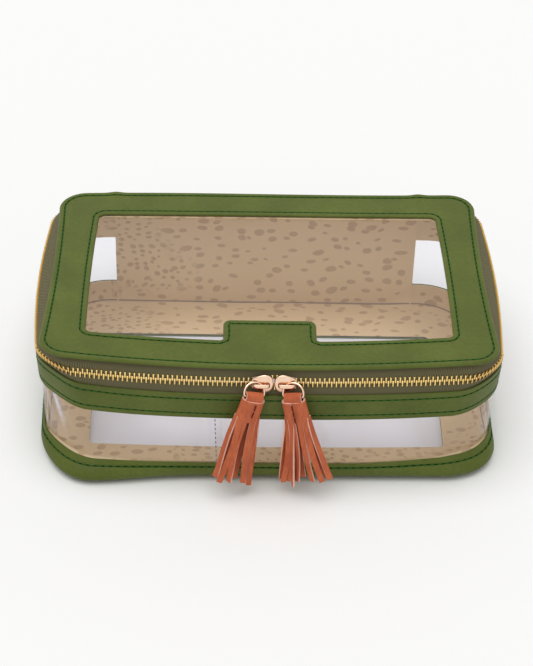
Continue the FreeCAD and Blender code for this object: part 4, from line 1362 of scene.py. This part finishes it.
def back_grid(inset, half, proud, sink, top):
    """A panel of the back: y and z start level on the floor, follow a quarter circle of the foot's radius
    and go straight up, with close rows near the fold. Proud lets the cover stand out over the bands' ends,
    and sink takes the start of the lining under the floor's."""
    x = np.linspace(-half, half, 80)[None, :]
    angle = np.linspace(0.0, np.pi / 2, 11)[:, None]
    roll = foot_roll(x)
    wall = np.linspace(BASE_ROLL, CLOSE_ROWS_Z, 24)[1:]
    fold = np.linspace(CLOSE_ROWS_Z, top, 22)[1:]
    z = np.concatenate([wall, fold])[:, None]
    radius = roll - inset
    depth = np.concatenate([BASE_ROLL + FOOT_LAP + 0 * x, roll - radius * np.sin(angle), inset + 0 * z * x])
    height = np.concatenate([inset - sink + 0 * x, roll - radius * np.cos(angle), z + 0 * x])
    depth = depth - proud * np.clip((height - PROUD_FROM_Z) / PROUD_OVER, 0, 1)
    risen = np.clip((height - SLACK_FROM_Z) / SLACK_OVER, 0, 1)
    free = np.clip(1.03 - (x / half) ** 4, 0, 1) * np.sin(np.pi * risen) ** 2
    y = BACK_Y - depth + BACK_SLACK * free * np.sin(x / 33.0 + 1.0)
    points = stacked(x, y, height + lean(x, y, height))
    middle = points.shape[1] // 2
    flat = stacked(x, run_of(points[:, middle])[:, None])
    return points, flat


def add_back(name, inset, proud, sink, top, thickness, finish, stands_for):
    """A sheet of the back, from the floor to the lid."""
    points, flat = back_grid(inset, PANEL_HALF + BACK_LAP, proud, sink, top)
    piece = add_piece(name, thick_sheet(points, thickness, flat), [finish], None, stands_for)
    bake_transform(piece)


add_back("back_cover", COVER_INSET, COVER_PROUD, 0.0, COVER_END_Z, WALL_COVER_T, green_cover,
         ["back_panel", "hinge_flap"])
add_back("back_lining_cloth", BACK_LINING_INSET, 0.0, LINING_SINK, LINING_END_Z, LINING_T, lining_cloth,
         ["back_lining", "hinge_flap_lining"])

# %% The back's seams
BACK_STITCH_IN = 2.2
BACK_STITCH_Z = (8.0, CHAIN_Z - 6.0)


def back_seam(x):
    """Stitches up one edge of the back, facing backward."""
    path = stacked(x, BACK_Y + WALL_COVER_T + STITCH_LIFT, np.linspace(*BACK_STITCH_Z, 40))
    return stitch_row(path, (0.0, 1.0, 0.0))


back_rows = [back_seam(side * (PANEL_HALF - BACK_STITCH_IN)) for side in (-1, 1)]
add_piece("back_seam_stitches", joined(back_rows), [green_thread], "case")

# %% [markdown]
# ## The fold along the floor
# Inside, the floor's lining is sewn to the back and to the walls, and each of those seams is a slim fold
# of cloth that catches shadow. It could be left to the two sheets that meet there, but their corner is
# round and would show no line. So a thin ring is carried along the corner, half sunk in the cloth.

# %% Folds along the back and the sides
SEAM_FOLD_R = 0.5
SIDE_FOLD_SHARE = 0.8
SIDE_FOLD_TURNS = (1.9, LAST_TURN)


def floor_seam():
    """A thin fold of cloth along the foot of the back: a round ring carried along x in a slow wave."""
    x = np.linspace(-PANEL_HALF, PANEL_HALF, 60)[:, None]
    circle = ring_of(8) * SEAM_FOLD_R
    face = BACK_LINING_INSET + LINING_T / 2
    corner = foot_roll(x) - (foot_roll(x) - face) * math.sqrt(0.5) + 0.1
    y = BACK_Y - corner + 0.2 * np.sin(x / 13.0) + circle[:, 0]
    z = corner + circle[:, 1]
    return loft(stacked(x, y, z))


def wall_seam(side):
    """The same fold along the foot of a side and a rear corner: a ring carried round the wall."""
    turns = side * np.linspace(*SIDE_FOLD_TURNS, 100)
    face = LINING_INSET + LINING_T / 2
    corner = BASE_ROLL - (BASE_ROLL - face) * math.sqrt(0.5) + 0.1
    path = rim(turns, corner, corner)
    outward = unit(path - rim(turns, corner, corner + 1.0))
    circle = ring_of(8) * SEAM_FOLD_R * SIDE_FOLD_SHARE
    up = np.array([0.0, 0.0, 1.0])
    ring = outward[:, None] * circle[None, :, :1] * side + up * circle[None, :, 1:]
    return loft(path[:, None] + ring)


seams = joined([floor_seam(), wall_seam(-1.0), wall_seam(1.0)])
# The fold's darker cloth is painted shade.
add_piece("floor_seam_fold", seams, [seam_cloth_painted_shade], "case")

# %% [markdown]
# ## The zip
# The zip is two woven tapes with a brass tooth clamped on every 2.54 mm of each edge. The teeth are one
# small bevelled shape: its outline comes from the CAD tooth, and a few rings with a smaller end give it
# soft edges that catch the light. The rows part between the two sliders, as a real double-ended zip does
# there.

# %% The chain's places and axes
MEET_X = 2.0
NOSE_GAP = 0.5
SLIDER_LENGTH = 11.5
TOOTH_PITCH = 2.54
CHAIN_MARGIN = 9.54
PARTING = 1.75
FULL_PARTING_WITHIN = 4.25
PARTING_ENDS = NOSE_GAP / 2 + SLIDER_LENGTH


def chain_run():
    """Turns along the chain, and their distance along it from where the sliders meet."""
    fine = np.linspace(-LAST_TURN, LAST_TURN, 12001)
    line = rim(fine, CHAIN_Z, SHEET_INSET)
    run = run_of(line)
    front = np.abs(fine) < 1
    return fine, run - np.interp(MEET_X, line[front, 0], run[front])


def chain_frames(distance):
    """Places on the chain and three axes there: along it, up the tape and outward."""
    fine, run = chain_run()
    turn = np.interp(distance, run, fine)
    place = rim(turn, CHAIN_Z, SHEET_INSET)
    along = unit(rim(turn + 1e-4, CHAIN_Z, SHEET_INSET) - rim(turn - 1e-4, CHAIN_Z, SHEET_INSET))
    rise = rim(turn, CHAIN_Z + TOOTH_LEG, SHEET_INSET) - rim(turn, CHAIN_Z - TOOTH_LEG, SHEET_INSET)
    outward = unit(np.cross(along, rise))
    return place, along, np.cross(outward, along), outward


def parting(distance):
    """How far each row stands off the chain's middle: full between the sliders' noses, none behind them."""
    share = (PARTING_ENDS - np.abs(distance)) / (PARTING_ENDS - FULL_PARTING_WITHIN)
    return PARTING * np.clip(share, 0, 1)


chain_ends = chain_run()[1][[0, -1]]
print("the chain runs from", np.round(chain_ends, 1), "mm of the meeting place")

# %% Tapes
TAPE_EDGE = 0.45
TAPE_T = 0.5
UPPER_SEWN_IN = np.array([[1.25, 0.2], [1.6, 0.55], [2.4, 0.72], [4.0, 0.72], [6.0, 0.72]])
UNDERCUT = 1.2
LOWER_SEWN_IN = 6.3
UPPER_TAPE_GAP = 0.2


def add_tape(name, turn, far, body, stands_for):
    """One tape: rows from its edge beside the teeth, which follows the parting, to a far height. The upper
    one then turns in under the lid, where it is sewn."""
    fine, run = chain_run()
    edge = CHAIN_Z + turn * (TAPE_EDGE + parting(np.interp(wall_turns, fine, run)))
    share = np.linspace(0.0, 1.0, 9)[:, None]
    undercut = UNDERCUT * share ** 2 if turn > 0 else 0.0
    rows = [rim(wall_turns[None, :], edge + share * (far - edge), SHEET_INSET + undercut)]
    if turn > 0:
        rows.append(along_wall(UPPER_SEWN_IN + [SHEET_INSET, LID_UNDER], wall_turns))
    points = np.concatenate(rows)
    flat = strip_flat(points, wall_runs)
    piece = add_piece(name, thick_sheet(points, TAPE_T, flat), [zip_tape], body, stands_for)


add_tape("zip_tape_lower", -1, BAND_TOP - LOWER_SEWN_IN, "case", ["zipper_tape_lower"])
add_tape("zip_tape_upper", 1, LID_UNDER - UPPER_TAPE_GAP, "lid", ["zipper_tape_upper"])


# %% Teeth
def tooth(turn):
    """One tooth: the CAD outline in x and y at five depths along z, smaller at both faces for a bevel."""
    wide, neck, reach, leg = 0.54, 0.43, 0.7, 2.75
    side = np.array([[neck, leg], [neck, 0.95], [wide, reach], [wide, -reach / 2], [neck * 0.8, -reach]])
    edge = np.concatenate([side, side[::-1] * [-1, 1]])
    middle = np.array([0.0, 1.0])
    depths = np.array([-1.15, -0.95, 0.85, 1.12, 1.22])
    shrink = np.array([0.72, 1.0, 1.0, 0.82, 0.5])
    rings = middle + (edge[None] - middle) * shrink[:, None, None]
    return loft(stacked(rings[..., 0], turn * rings[..., 1], depths[:, None]))


def teeth_row(turn):
    """A row of teeth every pitch, the lower half a pitch along, set apart where the sliders part them."""
    first = chain_ends[0] + CHAIN_MARGIN
    last = chain_ends[1] - CHAIN_MARGIN
    offset = 0.0 if turn > 0 else TOOTH_PITCH / 2
    distance = first + offset + TOOTH_PITCH * np.arange(int((last - first - offset) / TOOTH_PITCH))
    place, along, rise, outward = chain_frames(distance)
    place = place + rise * (turn * parting(distance))[:, None]
    return repeated(tooth(turn), place, np.stack([along, rise, outward], axis=1))


add_piece("zip_teeth_lower", teeth_row(-1), [brass], "case", ["zipper_teeth_lower"])
add_piece("zip_teeth_upper", teeth_row(1), [brass], "lid", ["zipper_teeth_upper"])

# %% [markdown]
# ## Sliders
# A slider is two domed plates round a wedge, with a flat bridge outside that holds the pull's ring. Cast
# metal has no sharp edge, so each part is a loft of squarish rings whose size swells and closes. They are
# joined into one mesh per side and laid on the chain's own axes.

# %% Slider parts
SIDES = {"left": -1.0, "right": 1.0}
# Places along a plate from its nose, and its half width at each
PLATE_AT = np.array([-5.75, -5.45, -4.7, -3.4, -1.6, 0.4, 2.4, 4.2, 5.3, 5.75])
PLATE_HALF = np.array([1.5, 2.6, 3.75, 4.75, 5.25, 5.05, 4.35, 3.55, 2.9, 2.2])
# Middle, half thickness and dome
OUTER_PLATE = (2.0, 0.7, 0.8)
INNER_PLATE = (-1.8, 0.5, 0.0)
# Place along the slider and distance from its middle, at both ends of a guide rail
RAIL = ((-1.0, 4.85), (5.55, 3.1))
RAIL_DEPTH = 1.1
RAIL_HALVES = (0.28, 0.34)
# Place along the slider and half width, at three points of the wedge
WEDGE = ((-5.5, 0.3), (-4.6, 0.38), (-1.75, 0.2))
WEDGE_HALF_DEPTH = 1.5
BRIDGE_BACK = 0.8
BRIDGE_HALF = 4.3
BRIDGE_FOOT = 2.1
BRIDGE_RISE = 3.35


def plate(middle, half, dome):
    """A plate along x: its half width follows the shield outline, and its thickness swells to a dome."""
    x = np.linspace(PLATE_AT[0], PLATE_AT[-1], 25)
    width = np.interp(x, PLATE_AT, PLATE_HALF)
    share = (x - x.mean()) / (x[-1] - x.mean())
    thick = half * (0.55 + 0.45 * np.sqrt(1 - np.abs(share) ** 6))
    circle = ring_of(20, 0.75)
    y = width[:, None] * circle[:, 0]
    ridge = dome * (1 - (share[:, None] + 0.15) ** 2) * np.clip(1 - circle[:, 0] ** 2, 0, 1)
    z = middle + thick[:, None] * circle[:, 1] + ridge * (circle[:, 1] > 0)
    return loft(stacked(x[:, None], y, z))


def block(points, halves):
    """A bar through points, each with its half width and half depth, with rounded corners."""
    circle = ring_of(12, 0.6)
    points = np.asarray(points, dtype=float)
    halves = np.asarray(halves, dtype=float)
    y = points[:, 1:2] + halves[:, :1] * circle[:, 0]
    z = points[:, 2:3] + halves[:, 1:] * circle[:, 1]
    return loft(stacked(points[:, :1], y, z))


def bridge():
    """A squarish arch along x: cos and sin of half a turn, raised to a small power, with a flat bar's ring
    of section on it, broad at the top and narrow at the feet."""
    angle = np.linspace(np.pi, 0.0, 31)
    x = BRIDGE_BACK + BRIDGE_HALF * np.sign(np.cos(angle)) * np.abs(np.cos(angle)) ** 0.45
    z = BRIDGE_FOOT + BRIDGE_RISE * np.abs(np.sin(angle)) ** 0.45
    path = stacked(x, 0.0, z)
    ahead = unit(np.gradient(path, axis=0))
    normal = stacked(-ahead[:, 2], 0.0, ahead[:, 0])
    circle = ring_of(12, 0.65)
    broad = 0.75 + 0.45 * np.clip(np.sin(angle), 0, 1) ** 0.5
    aside = np.array([0.0, 1.0, 0.0]) * (broad[:, None, None] * circle[None, :, :1])
    return loft(path[:, None] + aside + normal[:, None] * 0.52 * circle[None, :, 1:])


def slider_shell():
    """Both plates, the wedge between them, four guide rails and the bridge; x points away from the nose."""
    rails = [block([[x, turn * y, depth] for x, y in RAIL], [RAIL_HALVES, RAIL_HALVES])
             for turn in (-1, 1) for depth in (-RAIL_DEPTH, RAIL_DEPTH)]
    wedge = block([[x, 0, 0] for x, half in WEDGE], [[half, WEDGE_HALF_DEPTH] for x, half in WEDGE])
    return joined([plate(*OUTER_PLATE), plate(*INNER_PLATE), wedge, bridge(), *rails])


print("a slider has", len(slider_shell().points), "points")

# %% Both sliders
for name, side in SIDES.items():
    place, along, rise, outward = chain_frames(np.array([side * (NOSE_GAP + SLIDER_LENGTH) / 2]))
    axes = (side * along[0], rise[0], outward[0])
    add_piece(f"zip_slider_{name}", placed(slider_shell(), place[0], axes), [rose_gold],
              f"{name}_slider", [f"slider_{name}"])
    dress_node(f"pull_ring_{name}", rose_gold)

# %% [markdown]
# ## Tassels
# Each tassel is a piece of leather cut into strips below and rolled up above, sewn through once, and hung
# from a strap folded over the ring. The head is a spiral sheet, so the roll shows on its top edge. Each
# strip starts square to the roll and twists, bows and spreads by its own amounts, which come from a
# seeded draw.

# %% Tassel axes and the strap
STRAP_T = 1.1
STRAP_HALF = 4.7
STRAP_R = 1.7
STRAP_END = -7.0
HEAD_TOP = -2.2
HEAD_H = 13.5
ROLL_HALF = (6.5, 3.25)
ROLL_STEP = 1.05
ROLL_TURNS = 1.3
ROLL_START = {"left": math.radians(262.0), "right": math.radians(97.0)}
STRIP_T = 1.05
HANG_TILT = {"left": math.radians(5.0), "right": math.radians(-5.0)}


def tassel_axes(name):
    """Middle of the ring's bar and three directions: to the viewer's right, up against the hang, and out.
    Both tassels swing a little away from each other, so the first two are turned about the third."""
    joint = joints[f"{name}_tassel_swing"]
    bar = -SIDES[name] * np.array(joint["axis"])
    up = np.array([0.0, 0.0, 1.0])
    rise = unit(up - bar * (bar @ up))
    out = -SIDES[name] * np.cross(rise, bar)
    across = np.cross(rise, out)
    cos, sin = math.cos(HANG_TILT[name]), math.sin(HANG_TILT[name])
    return np.array(joint["pos_m"]) / MM, (across * cos - rise * sin, rise * cos + across * sin, out)


def strap_sheet():
    """A strip folded over the bar: down the front, a half circle over the top, and down the back."""
    angle = np.linspace(0.0, np.pi, 13)
    leg = np.linspace(STRAP_END, 0.0, 8)[:-1]
    front = np.full_like(leg, STRAP_R)
    out = np.concatenate([front, STRAP_R * np.cos(angle), -front])
    rise = np.concatenate([leg, STRAP_R * np.sin(angle), leg[::-1]])
    across = np.linspace(-STRAP_HALF, STRAP_HALF, 7)[None, :]
    bow = 0.12 * (across / STRAP_HALF) ** 2
    points = stacked(across, rise[:, None] - bow, out[:, None])
    flat = stacked(across, run_of(stacked(rise, out))[:, None])
    return thick_sheet(points, STRAP_T, flat, edge=1)


print("the left tassel hangs from", np.round(tassel_axes("left")[0], 1))


# %% The rolled head
def roll(angle, start):
    """A flattened spiral: cos and sin of the angle times half sizes that shrink a step with every turn."""
    inward = ROLL_STEP * (angle - start) / (2 * np.pi)
    across = np.sign(np.cos(angle)) * np.abs(np.cos(angle)) ** 0.85 * (ROLL_HALF[0] - inward)
    out = np.sign(np.sin(angle)) * np.abs(np.sin(angle)) ** 0.85 * (ROLL_HALF[1] - inward)
    return across, out


def head_sheet(start):
    """The rolled part of the tassel, a little wider at its foot, with a rim that is not quite level."""
    angle = np.linspace(start, start + 2 * np.pi * ROLL_TURNS, 110)
    across, out = roll(angle, start)
    share = np.linspace(0.0, 1.0, 9)[:, None]
    flare = 1 + 0.07 * share ** 1.5
    top = HEAD_TOP + 0.35 * np.sin(angle * 1.5)
    z = top - share * (HEAD_H + top - HEAD_TOP)
    points = stacked(across * flare, z, out * flare)
    flat = stacked(run_of(stacked(across, out)), -z)
    return thick_sheet(points, STRIP_T, flat, edge=1)


print("a head's sheet has", len(head_sheet(ROLL_START["left"]).points), "points")

# %% Strips of the fringe
STRIP_WIDTH = 3.15
STRIP_COUNT = 13
STRIP_FLAT_STEP = 3.0
ROOT_LAP = 2.5
FRINGE_LENGTH = 44.0
FAN = {"left": (1.67, 4.6), "right": (2.25, -3.2)}


def strip_sheet(start, number, draw, spread, drift):
    """One strip: its root lies on the roll, and with share s of its length it moves out by spread * s^1.4,
    drifts aside, bows as sin(pi s), and turns its width from the roll's direction towards the front."""
    angle = start + 2 * np.pi * ROLL_TURNS * (number + 0.5) / STRIP_COUNT
    step = 0.02
    (x0, o0), (x1, o1) = roll(np.array(angle - step), start), roll(np.array(angle + step), start)
    root = np.array([(x0 + x1) / 2, (o0 + o1) / 2])
    facing = math.atan2(o1 - o0, x1 - x0)
    facing = (facing + math.pi / 2) % math.pi - math.pi / 2
    bow, twist, extra, drop = draw
    s = np.linspace(0.0, 1.0, 15)[:, None]
    length = FRINGE_LENGTH - 0.2 + 1.8 * drop
    sway = bow * 1.3 * np.sin(np.pi * s) + extra * s ** 2
    x = root[0] * (1.05 + (spread - 1.0) * s ** 1.4) + drift * s + sway
    out = root[1] * (1.05 + 0.25 * s) + 0.5 * bow * np.sin(2 * np.pi * s)
    z = HEAD_TOP - HEAD_H + ROOT_LAP - length * s
    turned = facing * (1 - 0.6 * s) + twist * s ** 0.8
    width = np.linspace(-STRIP_WIDTH / 2, STRIP_WIDTH / 2, 4)[None, :]
    cup = 0.12 * (2 * width / STRIP_WIDTH) ** 2
    points = stacked(x + width * np.cos(turned), z, out + width * np.sin(turned) - cup)
    flat = stacked(width + number * STRIP_FLAT_STEP, length * s)
    return thick_sheet(points, STRIP_T, flat, edge=1)


def fringe(name, seed):
    """The head and all its strips as one shell, each strip with its own draw of bow, twist, sway and
    length."""
    draws = np.random.default_rng(seed).uniform(-1.0, 1.0, (STRIP_COUNT, 4))
    start = ROLL_START[name]
    strips = [strip_sheet(start, number, draw, *FAN[name]) for number, draw in enumerate(draws)]
    return joined([head_sheet(start), *strips])


print("a fringe has", STRIP_COUNT, "strips of", STRIP_WIDTH, "mm")

# %% Both tassels
SEEDS = {"left": 3, "right": 8}
# Pitch, length and radius
BROWN_STITCH = (3.7, 3.5, 0.42)
THREAD_X = {"left": 1.2, "right": -0.6}
THREAD_END = {"left": 10.0, "right": 13.0}
THREAD_OUT = ROLL_HALF[1] + STRIP_T / 2 + 0.18


def thread_row(name):
    """The brown stitches down the front of a head."""
    rise = HEAD_TOP - np.linspace(0.8, THREAD_END[name], 20)
    path = stacked(THREAD_X[name], rise, THREAD_OUT)
    return stitch_row(path, (0.0, 0.0, 1.0), *BROWN_STITCH)


for name in SIDES:
    middle, axes = tassel_axes(name)
    body = f"{name}_tassel"
    leather = [tan_leather, cut_edge]
    add_piece(f"tassel_strap_sheet_{name}", placed(strap_sheet(), middle, axes), leather,
              body, [f"tassel_strap_{name}"])
    tassel = add_piece(f"tassel_roll_{name}", placed(fringe(name, SEEDS[name]), middle, axes), leather,
                       body, [f"tassel_fringe_{name}"])
    add_piece(f"tassel_thread_{name}", placed(thread_row(name), middle, axes), [brown_thread],
              body, [f"tassel_stitch_{name}"])
